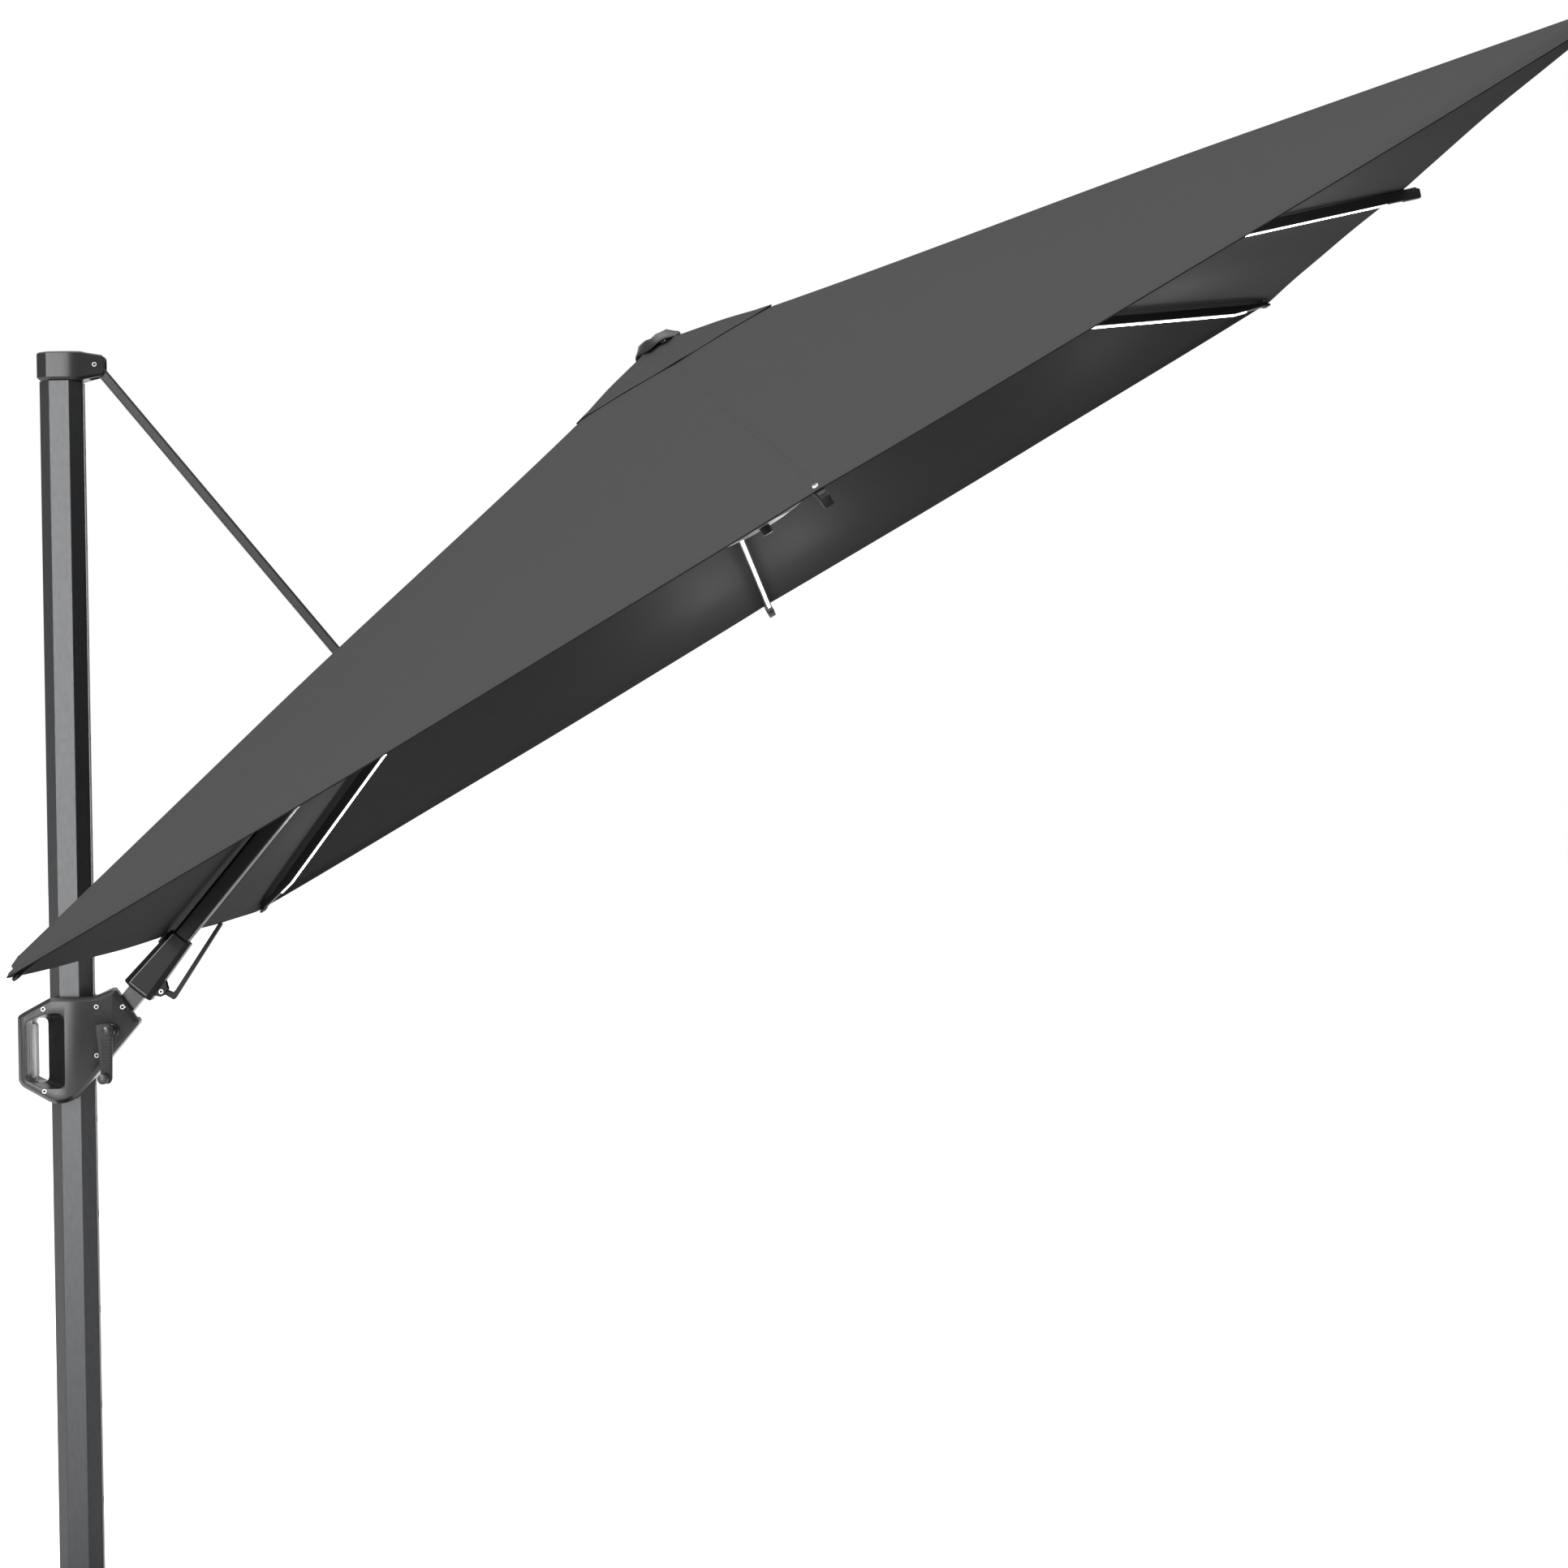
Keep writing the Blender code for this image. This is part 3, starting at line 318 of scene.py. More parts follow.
def main_surface(side, lv, w):
    """A point of the fabric's top in the canopy frame. lv is the half size of the square
    ring it lies on, and w runs from -1 to 1 along that ring's side."""
    a = min(1.0, abs(w))
    h = 4 * a * (1 - a)
    soft = h ** 0.8 if h > 0 else 0.0
    le = lv - SCALLOP[side] * h * (lv / HALF) ** 6
    body = smooth01((lv - VENT_OPEN) / 0.75) * (1 - 0.35 * smooth01((lv - 1.15) / 0.35))
    sag = 0.0085 * soft * body
    ripple = 0.0009 * math.sin(math.pi * a) ** 2 * math.sin(9.0 * w + 1.3 * side) * smooth01((lv - 0.9) / 0.5)
    lift = 0.012 * a ** 5 * smooth01((lv - 0.25) / 0.75) * (1 - smooth01((lv - 1.478) / 0.022))
    n = RISE * (1 - le / HALF) - sag + ripple + lift
    x, y = le, w * lv
    for _ in range(side):
        x, y = -y, x
    return Vector((x, y, n))


def vent_surface(side, lv, w):
    a = min(1.0, abs(w))
    t = min(1.0, lv / VENT_HALF)
    h = 4 * a * (1 - a)
    main = RISE * (1 - lv / HALF)
    rise = 0.0036 + 0.0048 * smooth01((1 - t) / 0.45)
    rise *= 1 - 0.45 * smooth01((0.30 - t) / 0.30)
    rise += 0.0060 * smooth01((0.24 - t) / 0.14)
    rise -= 0.0038 * h * math.sin(math.pi * t) ** 0.8 if t < 1 else 0.0
    rise += 0.0016 * math.sin(7.0 * w + 2.1 * side + 9 * t) * math.sin(math.pi * a) * math.sin(math.pi * t)
    rise += 0.0014 * math.sin(math.pi * a) ** 2 * math.cos(6.0 * w + side) * smooth01((t - 0.8) / 0.2)
    le = lv - 0.010 * h * t ** 4
    x, y = le, w * lv
    for _ in range(side):
        x, y = -y, x
    if x < 0:
        x *= 1 + 0.05 * t * t
        main = min(main, RISE * (1 - max(abs(x), abs(y)) / HALF))
    return Vector((x, y, main + max(0.0028, rise)))


def rib_line(k, surface, lv):
    """The point of the fabric over rib k, at ring half size lv."""
    side, w = (k // 2, 0.0) if k % 2 == 0 else (k // 2, 1.0)
    return surface(side, lv, w)


def fold_of(k):
    """How rib k turns with the hub held still: its pivot, axis and angle at full fold, in the canopy frame."""
    az = k * math.pi / 4
    rd, kd = Vector((math.cos(az), math.sin(az), 0)), Vector((-math.sin(az), math.cos(az), 0))
    if k == 4:
        return Vector((HUB_U, 0, HUB_N)), kd, math.radians(FOLD)
    tip = HALF * (math.sqrt(2) if k % 2 else 1.0)
    low = -0.0175 if k % 2 else -0.014
    slope = math.atan2(PIVOT_N - low, tip - PIVOT_R)
    return Vector((PIVOT_R * rd.x, PIVOT_R * rd.y, PIVOT_N)), kd, END - slope


def folded(k, p):
    c, ax, ang = fold_of(k)
    return c + Matrix.Rotation(ang, 3, ax) @ (p - c)


def unfolded(k, p):
    c, ax, ang = fold_of(k)
    return c + Matrix.Rotation(-ang, 3, ax) @ (p - c)


def pleat(k, j, edge, radius):
    """The squash axis, anchor and keep for the half sector of rib k whose outer edge point
    meets rib j's, so that both end on one pleat at that radius from the hub's axis."""
    a_k, a_j = rib_line(k, main_surface, 0.3), rib_line(j, main_surface, 0.3)
    r_k = (rib_line(k, main_surface, 1.3) - a_k).normalized()
    r_j = (rib_line(j, main_surface, 1.3) - a_j).normalized()
    fa_k, fa_j = folded(k, a_k), folded(j, a_j)
    fr_k, fr_j = (folded(k, a_k + r_k) - fa_k), (folded(j, a_j + r_j) - fa_j)
    along_k, along_j = (edge - a_k).dot(r_k), (edge - a_j).dot(r_j)
    line = fr_k.cross(fr_j).normalized()
    # a point on both planes
    A = np.array([list(fr_k), list(fr_j), list(line)])
    mid = (fa_k + fa_j) / 2
    b = np.array([fr_k.dot(fa_k) + along_k, fr_j.dot(fa_j) + along_j, line.dot(mid)])
    p0 = Vector(np.linalg.solve(A, b))
    az = math.atan2(edge.y, edge.x)
    best = min((abs(Vector(((p0 + line * t).x, (p0 + line * t).y)).dot(Vector((math.cos(az), math.sin(az)))) - radius), t)
               for t in np.linspace(-1.2, 1.2, 961))
    target = unfolded(k, p0 + line * best[1])
    e = (edge - a_k) - r_k * (edge - a_k).dot(r_k)
    t = (target - a_k) - r_k * (target - a_k).dot(r_k)
    d = (e - t).normalized()
    keep = t.dot(d) / e.dot(d)
    return d, a_k, min(1.0, max(0.02, keep))


def body_for(k):
    return "arm" if k == 4 else f"rib_{k + 1 if k < 4 else k}_arm"


def cloth_piece(name, k, side, w_list, levels, surface, hem_at, hem, slot=None, thick=0.0011, area=None, flat=(1, 1), under="underside_painted_shade", rests=()):
    """One half sector of a fabric cover, as a thin closed skin with shared edge normals."""
    nl, nw = len(levels), len(w_list)

    def normal(lv, w):
        e1, e2 = 0.004, 0.004
        wa, wb = max(-1.0, w - e2), min(1.0, w + e2)
        a = surface(side, lv + e1, w) - surface(side, lv - e1, w)
        b = surface(side, lv, wb) - surface(side, lv, wa)
        return a.cross(b).normalized()

    top, bot, nrm, cloth, seam = [], [], [], [], []
    for lv in levels:
        extra = 0.0006 if hem_at - lv < 0.0285 else 0.0
        if slot and slot[0] - 0.013 < lv < slot[1] + 0.013:
            pass
        for w in w_list:
            p, n = surface(side, lv, w), normal(lv, w)
            ex = extra
            if slot and slot[0] - 0.0125 < lv < slot[1] + 0.0125 and abs(w * lv) < slot[2] + 0.0125:
                ex = 0.0006
            top.append(p + n * ex)
            bot.append(p - n * (thick + ex))
            nrm.append(n)
            u_, v_ = (lv, w * lv) if side % 2 == 0 else (w * lv, lv)
            cloth.append((u_, v_, hem_at - lv))
            seam.append(min(abs(w) * lv, (1 - abs(w)) * lv * 0.7071))
    verts = top + bot
    off = nl * nw
    faces, fm, ln = [], [], []

    def gone(i, j):
        if not slot:
            return False
        lv, w = (levels[i] + levels[i + 1]) / 2, (w_list[j] + w_list[j + 1]) / 2
        return slot[0] < lv < slot[1] and abs(w) * lv < slot[2]

    def add(f, mat, normals):
        faces.append(f)
        fm.append(mat)
        ln.extend(normals)

    def wall(a, b, flip):
        """The narrow wall between the two skins along the edge a-b."""
        f = (a, b, b + off, a + off) if not flip else (b, a, a + off, b + off)
        pa, pb, pc = (verts[f[0]], verts[f[1]], verts[f[2]])
        n = (pb - pa).cross(pc - pa).normalized()
        add(f, 1, [n] * 4)

    present = {(i, j) for i in range(nl - 1) for j in range(nw - 1) if not gone(i, j)}
    for i, j in sorted(present):
        a, b, c, d = i * nw + j, (i + 1) * nw + j, (i + 1) * nw + j + 1, i * nw + j + 1
        add((a, b, c, d), 0, [nrm[a], nrm[b], nrm[c], nrm[d]])
        add((d + off, c + off, b + off, a + off), 1, [-nrm[d], -nrm[c], -nrm[b], -nrm[a]])
        if (i - 1, j) not in present:
            wall(d, a, True)
        if (i + 1, j) not in present:
            wall(b, c, True)
        if (i, j - 1) not in present:
            wall(a, b, True)
        if (i, j + 1) not in present:
            wall(c, d, True)
    world = [CAN @ v for v in verts]
    rot = CAN.to_3x3()
    # material slot 1, on the underside skin and the walls, is the darker copy of the fabric that paints in the
    # underside's shade
    o = new_piece(name, world, faces, ["cloth", under], body_for(k), face_mat=fm, loop_normals=[rot @ n for n in ln])
    at = o.data.attributes.new("cloth", "FLOAT_VECTOR", "POINT")
    at.data.foreach_set("vector", [c for v in cloth + cloth for c in v])
    at = o.data.attributes.new("seam", "FLOAT", "POINT")
    at.data.foreach_set("value", seam + seam)
    return o


levels_main = [VENT_OPEN, 0.178, 0.186] + [0.21 + 0.0483 * i for i in range(25)] + [1.415, 1.455, 1.4705, 1.4720, 1.486, 1.4985, HALF]
levels_main = sorted(set(round(x, 4) for x in levels_main if x <= HALF))
SLOT = (0.830, 0.960, 0.050)


def spread(a, b, n):
    return [a + (b - a) * i / n for i in range(n + 1)]


def rot_side(p, side):
    for _ in range(side):
        p = Vector((-p.y, p.x, p.z))
    return p


for side_ in range(4):
    for part_, (w0, w1) in enumerate(((-1.0, -0.5), (-0.5, 0.0), (0.0, 0.5), (0.5, 1.0))):
        k = (2 * side_ - 1) % 8 if part_ == 0 else (2 * side_ + 1) % 8 if part_ == 3 else 2 * side_
        j = 2 * side_ if part_ in (0, 3) else (2 * side_ - 1) % 8 if part_ == 1 else (2 * side_ + 1) % 8
        ws = spread(w0, w1, 12)
        lv_ = levels_main
        slot_ = None
        if side_ == 2 and part_ in (1, 2):
            slot_ = SLOT
            s_ = -1 if part_ == 1 else 1
            extra = [s_ * 0.012, s_ * 0.030, s_ * 0.0449, s_ * 0.0562, s_ * 0.0602, s_ * 0.0720]
            ws = sorted(set([w for w in ws if abs(w) > 0.075 or w == 0.0] + extra))
            lv_ = sorted(set(list(levels_main) + [0.8175, 0.829, 0.8305, 0.845, 0.945, 0.9595, 0.961, 0.9725]))
        o = cloth_piece(f"canopy_{side_ + 1}_{part_ + 1}", k, side_, ws, lv_, main_surface, HALF, 0.03, slot=slot_)
        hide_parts("canopy")
        edge = main_surface(side_, HALF, -0.5 if part_ in (0, 1) else 0.5)
        d, anchor, keep = pleat(k, j, edge, 0.17)
        print("pleat", o.name, body_for(k), [round(c, 3) for c in d], round(keep, 4))
        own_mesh(o)

# vent cover: one piece over each rib
vent_levels = [0.030, 0.045, 0.060, 0.080, 0.100, 0.120, 0.140, 0.155, 0.170, 0.182, 0.194, 0.204, 0.212, 0.2155, 0.2170, 0.2215, VENT_HALF]
for side_ in range(4):
    for part_, (w0, w1) in enumerate(((-1.0, -0.5), (-0.5, 0.0), (0.0, 0.5), (0.5, 1.0))):
        k = (2 * side_ - 1) % 8 if part_ == 0 else (2 * side_ + 1) % 8 if part_ == 3 else 2 * side_
        ws = spread(w0, w1, 8)
        o = cloth_piece(f"vent_{side_ + 1}_{part_ + 1}", k, side_, ws, vent_levels, vent_surface, VENT_HALF, 0.01)
        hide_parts("vent_canopy")
        a_k = rib_line(k, vent_surface, 0.08)
        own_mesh(o)


# ------------------------------------------------------------------ hard details
def finish_mesh(o, bevel=0.0, segments=2, sharp=32, angle=40):
    """Applies o's modifiers, then sets smooth faces with sharp edges."""
    if bevel:
        b = o.modifiers.new("Bevel", "BEVEL")
        b.width, b.segments, b.limit_method, b.angle_limit = bevel, segments, "ANGLE", math.radians(angle)
    dg = bpy.context.evaluated_depsgraph_get()
    me_ = bpy.data.meshes.new_from_object(o.evaluated_get(dg))
    o.modifiers.clear()
    o.data = me_
    me_.polygons.foreach_set("use_smooth", [True] * len(me_.polygons))
    me_.set_sharp_from_angle(angle=math.radians(sharp))
    me_.update()
    return o


def raw(name, verts, faces, mats=("plastic",)):
    me_ = bpy.data.meshes.new(name)
    me_.from_pydata([tuple(v) for v in verts], [], faces)
    for m_ in mats:
        me_.materials.append(M[m_])
    bm_ = bmesh.new()
    bm_.from_mesh(me_)
    bmesh.ops.remove_doubles(bm_, verts=bm_.verts, dist=1e-6)
    bmesh.ops.recalc_face_normals(bm_, faces=bm_.faces)
    bm_.to_mesh(me_)
    bm_.free()
    o_ = bpy.data.objects.new(name, me_)
    scene.collection.objects.link(o_)
    return o_


def carve(o, verts_faces, op="DIFFERENCE"):
    c = raw("cutter", *verts_faces)
    b = o.modifiers.new("cut", "BOOLEAN")
    b.operation, b.solver, b.object = op, "EXACT", c
    dg = bpy.context.evaluated_depsgraph_get()
    me_ = bpy.data.meshes.new_from_object(o.evaluated_get(dg))
    o.modifiers.clear()
    o.data = me_
    bpy.data.objects.remove(c, do_unlink=True)
    return o


def rings_solid(loops):
    """Verts and faces of a closed solid through rings of equal length."""
    n, v, f = len(loops[0]), [], []
    for lp in loops:
        v += [Vector(p) for p in lp]
    for i in range(len(loops) - 1):
        for j in range(n):
            k2 = (j + 1) % n
            f.append((i * n + j, i * n + k2, (i + 1) * n + k2, (i + 1) * n + j))
    f.append(tuple(range(n))[::-1])
    f.append(tuple((len(loops) - 1) * n + j for j in range(n)))
    return v, f


def box_solid(x0, x1, y0, y1, z0, z1, fr=None):
    v, f = rings_solid([[(x, y, z0) for x, y in ((x0, y0), (x1, y0), (x1, y1), (x0, y1))],
                        [(x, y, z1) for x, y in ((x0, y0), (x1, y0), (x1, y1), (x0, y1))]])
    return ([fr @ p for p in v] if fr else v), f


def turned(profile, segs, at, axis, mats=("plastic",), name="turned", bands=None):
    """A solid of revolution: profile is (radius, along) from pole to pole, about the line at+axis."""
    axis = Vector(axis).normalized()
    side = axis.orthogonal().normalized()
    other = axis.cross(side)
    v, f, fm = [], [], []
    idx = []
    for r, a in profile:
        if r < 1e-7:
            idx.append([len(v)])
            v.append(Vector(at) + axis * a)
        else:
            idx.append(list(range(len(v), len(v) + segs)))
            for i in range(segs):
                t = 2 * math.pi * i / segs
                v.append(Vector(at) + axis * a + (side * math.cos(t) + other * math.sin(t)) * r)
    for q in range(len(profile) - 1):
        a_, b_ = idx[q], idx[q + 1]
        mi = bands[q] if bands else 0
        for i in range(segs):
            j_ = (i + 1) % segs
            if len(a_) == 1 and len(b_) == 1:
                continue
            if len(a_) == 1:
                f.append((a_[0], b_[i], b_[j_]))
            elif len(b_) == 1:
                f.append((a_[i], b_[0], a_[j_]))
            else:
                f.append((a_[i], b_[i], b_[j_], a_[j_]))
            fm.append(mi)
    me_ = bpy.data.meshes.new(name)
    me_.from_pydata([tuple(p) for p in v], [], f)
    for m_ in mats:
        me_.materials.append(M[m_])
    me_.polygons.foreach_set("material_index", fm)
    bm_ = bmesh.new()
    bm_.from_mesh(me_)
    bmesh.ops.recalc_face_normals(bm_, faces=bm_.faces)
    bm_.to_mesh(me_)
    bm_.free()
    me_.polygons.foreach_set("use_smooth", [True] * len(me_.polygons))
    me_.set_sharp_from_angle(angle=math.radians(40))
    o_ = bpy.data.objects.new(name, me_)
    scene.collection.objects.link(o_)
    return o_


def ring_screw(name, at, axis, body, r=0.0046, h=0.0022, sink=0.0015):
    """A bright round screw head, its socket painted near-black as shade."""
    prof = [(0, -sink), (r * 0.98, -sink), (r, h * 0.55), (r * 0.90, h), (r * 0.62, h), (r * 0.55, h * 0.85), (r * 0.54, h * 0.25), (0, h * 0.20)]
    o_ = turned(prof, 28, at, axis, ("ring", "socket_painted_shade"), name, [0, 0, 0, 0, 1, 1, 1])
    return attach(o_, body)


def rounded(poly, r, n=5):
    """poly with each corner rounded; r is one radius, or one for each corner."""
    out = []
    m_ = len(poly)
    for i in range(m_):
        rr = r[i] if hasattr(r, "__len__") else r
        p0, p1, p2 = Vector(poly[i - 1]), Vector(poly[i]), Vector(poly[(i + 1) % m_])
        a, b = (p0 - p1), (p2 - p1)
        t = min(rr, 0.46 * a.length, 0.46 * b.length)
        q0, q2 = p1 + a.normalized() * t, p1 + b.normalized() * t
        for s in range(n + 1):
            w = s / n
            out.append(tuple((1 - w) ** 2 * q0 + 2 * w * (1 - w) * p1 + w * w * q2))
    return out


def inset(poly, d):
    n = len(poly)
    area_ = sum(a[0] * b[1] - b[0] * a[1] for a, b in zip(poly, poly[1:] + poly[:1]))
    sgn = 1.0 if area_ > 0 else -1.0
    out = []
    for i in range(n):
        a = (Vector(poly[i]) - Vector(poly[i - 1]))
        b = (Vector(poly[(i + 1) % n]) - Vector(poly[i]))
        a, b = a.normalized(), b.normalized()
        na, nb = Vector((-a.y, a.x)), Vector((-b.y, b.x))
        m_ = (na + nb).normalized()
        k_ = d * sgn / max(0.5, m_.dot(na))
        out.append((poly[i][0] + m_.x * k_, poly[i][1] + m_.y * k_))
    return out


HOUSING = [(-0.1014, 1.3625), (-0.0905, 1.3695), (-0.0360, 1.3985), (-0.0280, 1.4000), (0.0520, 1.3985), (0.0900, 1.4130), (0.0965, 1.4120),
           (0.1415, 1.3480), (0.1410, 1.3420), (0.0240, 1.2030), (0.0100, 1.1915), (-0.0070, 1.1845), (-0.0250, 1.1828), (-0.0380, 1.1868),
           (-0.0945, 1.2195), (-0.1014, 1.2300)]
HOUSING_ROUND = [0.010, 0.010, 0.004, 0.004, 0.010, 0.004, 0.003, 0.003, 0.003, 0.006, 0.006, 0.006, 0.006, 0.006, 0.010, 0.010]
FRONT = [(-0.105, 0.0606), (-0.084, 0.0617), (-0.060, 0.0628), (-0.040, 0.0634), (-0.022, 0.0637), (-0.008, 0.0638), (0.003, 0.0637), (0.013, 0.0632), (0.024, 0.0620), (0.037, 0.0600), (0.052, 0.0575), (0.072, 0.0540), (0.1035, 0.0486), (0.125, 0.0440), (0.145, 0.0390)]


def front_at(x):
    """How far the housing's front stands from its middle plane, at x."""
    xs, ys = [p[0] for p in FRONT], [p[1] for p in FRONT]
    if x <= xs[0] or x >= xs[-1]:
        return float(np.interp(x, xs, ys))
    i = max(j for j in range(len(xs) - 1) if xs[j] <= x)
    x0, x1, y0, y1 = xs[i], xs[i + 1], ys[i], ys[i + 1]

    def slope_at(q):
        q0, q1 = max(0, q - 1), min(len(xs) - 1, q + 1)
        return (ys[q1] - ys[q0]) / (xs[q1] - xs[q0])
    t, h = (x - x0) / (x1 - x0), x1 - x0
    return ((2 * t**3 - 3 * t**2 + 1) * y0 + (t**3 - 2 * t**2 + t) * h * slope_at(i)
            + (-2 * t**3 + 3 * t**2) * y1 + (t**3 - t**2) * h * slope_at(i + 1))


def housing_shell(name, s, node):
    base = rounded(HOUSING, HOUSING_ROUND, 4)
    if s > 0:                     # the far half stops a little short of the near one at the arm
        base = [(x - 0.0125 * smooth01((x - 0.020) / 0.090), z) for x, z in base]
    steps = [(0.0, 0.0003), (0.0, 0.0490), (0.0006, 0.0502), (0.0070, 0.0584), (0.0082, 0.0596), (0.0098, 0.0600)]
    v, f = rings_solid([[(x, s * y, z) for x, z in (inset(base, d) if d else base)] for d, y in steps])
    o = raw(name, v, f, ("plastic",))
    bm_ = bmesh.new()
    bm_.from_mesh(o.data)
    for x in np.arange(-0.099, 0.141, 0.004):
        bmesh.ops.bisect_plane(bm_, geom=list(bm_.verts) + list(bm_.edges) + list(bm_.faces), plane_co=(x, 0, 0), plane_no=(1, 0, 0), dist=1e-6)
    for q in bm_.verts:
        q.co.y *= front_at(q.co.x) / 0.0600
    bm_.to_mesh(o.data)
    bm_.free()
    front = rounded([(-0.0854, 1.2335), (-0.0480, 1.2150), (-0.0060, 1.2150), (-0.0060, 1.3672), (-0.0385, 1.3672), (-0.0854, 1.3500)], [0.008, 0.012, 0.014, 0.015, 0.012, 0.010], 6)
    inner = rounded([(-0.0890, 1.2370), (-0.0735, 1.2255), (-0.0450, 1.2255), (-0.0450, 1.3570), (-0.0700, 1.3570), (-0.0890, 1.3500)], [0.008, 0.012, 0.016, 0.018, 0.010, 0.010], 6)
    deep = [(min(x, -0.0468), z - 0.0042 * smooth01((1.2450 - z) / 0.010) * smooth01((-0.0700 - x) / 0.008)) for x, z in inner]
    carve(o, rings_solid([[(x, s * 0.0700, z) for x, z in inset(front, -0.0015)], [(x, s * 0.0580, z) for x, z in front], [(x, s * 0.0235, z) for x, z in inner], [(x, s * 0.0120, z) for x, z in deep], [(x, s * -0.0100, z) for x, z in deep]]))
    oct_ = [(-0.0450, -0.0105), (-0.0215, -0.0325), (0.0215, -0.0325), (0.0450, -0.0105), (0.0490, -0.0085), (0.0490, 0.0085), (0.0450, 0.0105), (0.0215, 0.0325), (-0.0215, 0.0325), (-0.0450, 0.0105)]
    carve(o, rings_solid([[(x, y, 1.10) for x, y in oct_], [(x, y, 1.50) for x, y in oct_]]))
    carve(o, rings_solid([[(0.0885, s * -0.01, 1.354), (0.170, s * -0.01, 1.354), (0.170, s * -0.01, 1.440), (0.0885, s * -0.01, 1.440)],
                          [(0.0885, s * 0.0217, 1.354), (0.170, s * 0.0217, 1.354), (0.170, s * 0.0217, 1.440), (0.0885, s * 0.0217, 1.440)]]))
    finish_mesh(o, 0.0011, 2, sharp=26, angle=38)
    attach(o, "slider")
    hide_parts(node)
    return o


housing_shell("housing_shell_near", -1, "housing_near")
housing_shell("housing_shell_far", 1, "housing_far")
for s_, tag in ((-1, "near"), (1, "far")):
    for i_, (x, z) in enumerate(((-0.0470, 1.3770), (0.0590, 1.3790), (0.0580, 1.2800), (-0.0470, 1.2100))):
        ring_screw(f"housing_screw_{tag}_{i_ + 1}", (x, s_ * (front_at(x) - 0.0004), z), ((front_at(x - 0.002) - front_at(x + 0.002)) / 0.004, s_, 0), "slider", r=0.0047)
pin = turned([(0, -0.0452), (0.0047, -0.0452), (0.0058, -0.0440), (0.0064, -0.0420), (0.0064, 0.0420), (0.0058, 0.0440), (0.0047, 0.0452), (0, 0.0452)], 24, (0.110, 0, 1.377), (0, 1, 0), ("steel",), "arm_pin_shaft")
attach(pin, "slider")
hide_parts("arm_pin")
for s_, tag in ((-1, "near"), (1, "far")):
    ring_screw(f"arm_pin_head_{tag}", (0.110, s_ * (front_at(0.110) - 0.0004), 1.377), ((front_at(0.108) - front_at(0.112)) / 0.004, s_, 0), "slider", r=0.0048)

# crank: tapered lever with grip ribs, round knob, and a collar round the shaft
collar = turned([(0.0075, 0.0), (0.0148, 0.0), (0.0148, 0.0125), (0.0138, 0.0140), (0.0118, 0.0145), (0.0118, 0.0)], 36, (0.090, -0.0465, 1.330), (0, -1, 0), ("plastic",), "crank_collar")
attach(collar, "slider")
lever = rounded([(0.0660, 1.3420), (0.0685, 1.3455), (0.0735, 1.3478), (0.0935, 1.3482), (0.0995, 1.3430), (0.0975, 1.2350), (0.0935, 1.2270), (0.0810, 1.2265), (0.0775, 1.2330)], 0.003, 4)
lv_steps = [(0.0, 0.1003), (0.0, 0.1122), (0.0008, 0.1134), (0.0022, 0.1140)]
arm_o = raw("crank_lever", *rings_solid([[(x, -y, z) for x, z in (inset(lever, d) if d else lever)] for d, y in lv_steps]), ("lever",))
for i_ in range(9):
    z0 = 1.2585 + 0.0068 * i_
    xm = 0.0865
    w_ = 0.0058 + 0.0004 * i_
    carve(arm_o, rings_solid([[(xm - w_, -0.1136, z0), (xm + w_, -0.1136, z0), (xm + w_, -0.1136, z0 + 0.0034), (xm - w_, -0.1136, z0 + 0.0034)],
                              [(xm - w_ + 0.001, -0.1152, z0 + 0.0008), (xm + w_ - 0.001, -0.1152, z0 + 0.0008), (xm + w_ - 0.001, -0.1152, z0 + 0.0026), (xm - w_ + 0.001, -0.1152, z0 + 0.0026)]]), "UNION")
finish_mesh(arm_o, 0.0, 1, sharp=34)
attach(arm_o, "crank")
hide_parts("crank_arm")
hubc = turned([(0, 0.0), (0.0112, 0.0), (0.0112, 0.0380), (0.0125, 0.0395), (0.0125, 0.0425), (0, 0.0425)], 36, (0.090, -0.0600, 1.330), (0, -1, 0), ("plastic",), "crank_shaft_body")
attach(hubc, "crank")
cap_c = turned([(0, 0), (0.0098, 0), (0.0098, 0.0010), (0.0086, 0.0019), (0, 0.0022)], 36, (0.0895, -0.1138, 1.3325), (0, -1, 0), ("plastic",), "crank_lever_cap")
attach(cap_c, "crank")
knob_o = turned([(0, 0.0), (0.0094, 0.0), (0.0106, 0.0010), (0.0098, 0.0050), (0.0101, 0.0120), (0.0109, 0.0168), (0.0108, 0.0190), (0.0098, 0.0206), (0.0070, 0.0214), (0, 0.0217)],
                40, (0.0835, -0.1146, 1.238), (0, -1, 0), ("plastic",), "crank_knob_body")
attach(knob_o, "crank_knob")
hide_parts("crank_knob")

# top cap: one body whose sides run on into two cheeks that hold the strut's pin
CAP_SIDE = [(-0.0465, 0.0185), (-0.0248, 0.0345), (-0.0100, 0.0347), (0.0080, 0.0348), (0.0190, 0.0347), (0.0265, 0.0341), (0.0335, 0.0327), (0.0400, 0.0309),
            (0.0480, 0.0283), (0.0560, 0.0257), (0.0650, 0.0230), (0.0740, 0.0204), (0.0830, 0.0179), (0.0885, 0.0164), (0.0902, 0.0150)]


def cap_ring(d, z):
    side = []
    for i, (x, y) in enumerate(CAP_SIDE):
        k_ = min(d, 0.42 * max(0.0006, y - 0.0124))
        side.append((x + (d if i == 0 else (0.45 * d if i == 1 else (-0.6 * k_ if i > 12 else 0.0))), y - k_))
    ring = [(x, -y, z) for x, y in side] + [(0.0902, -0.0124, z), (0.0580, -0.0124, z), (0.0580, 0.0124, z), (0.0902, 0.0124, z)] + [(x, y, z) for x, y in reversed(side)]
    return ring


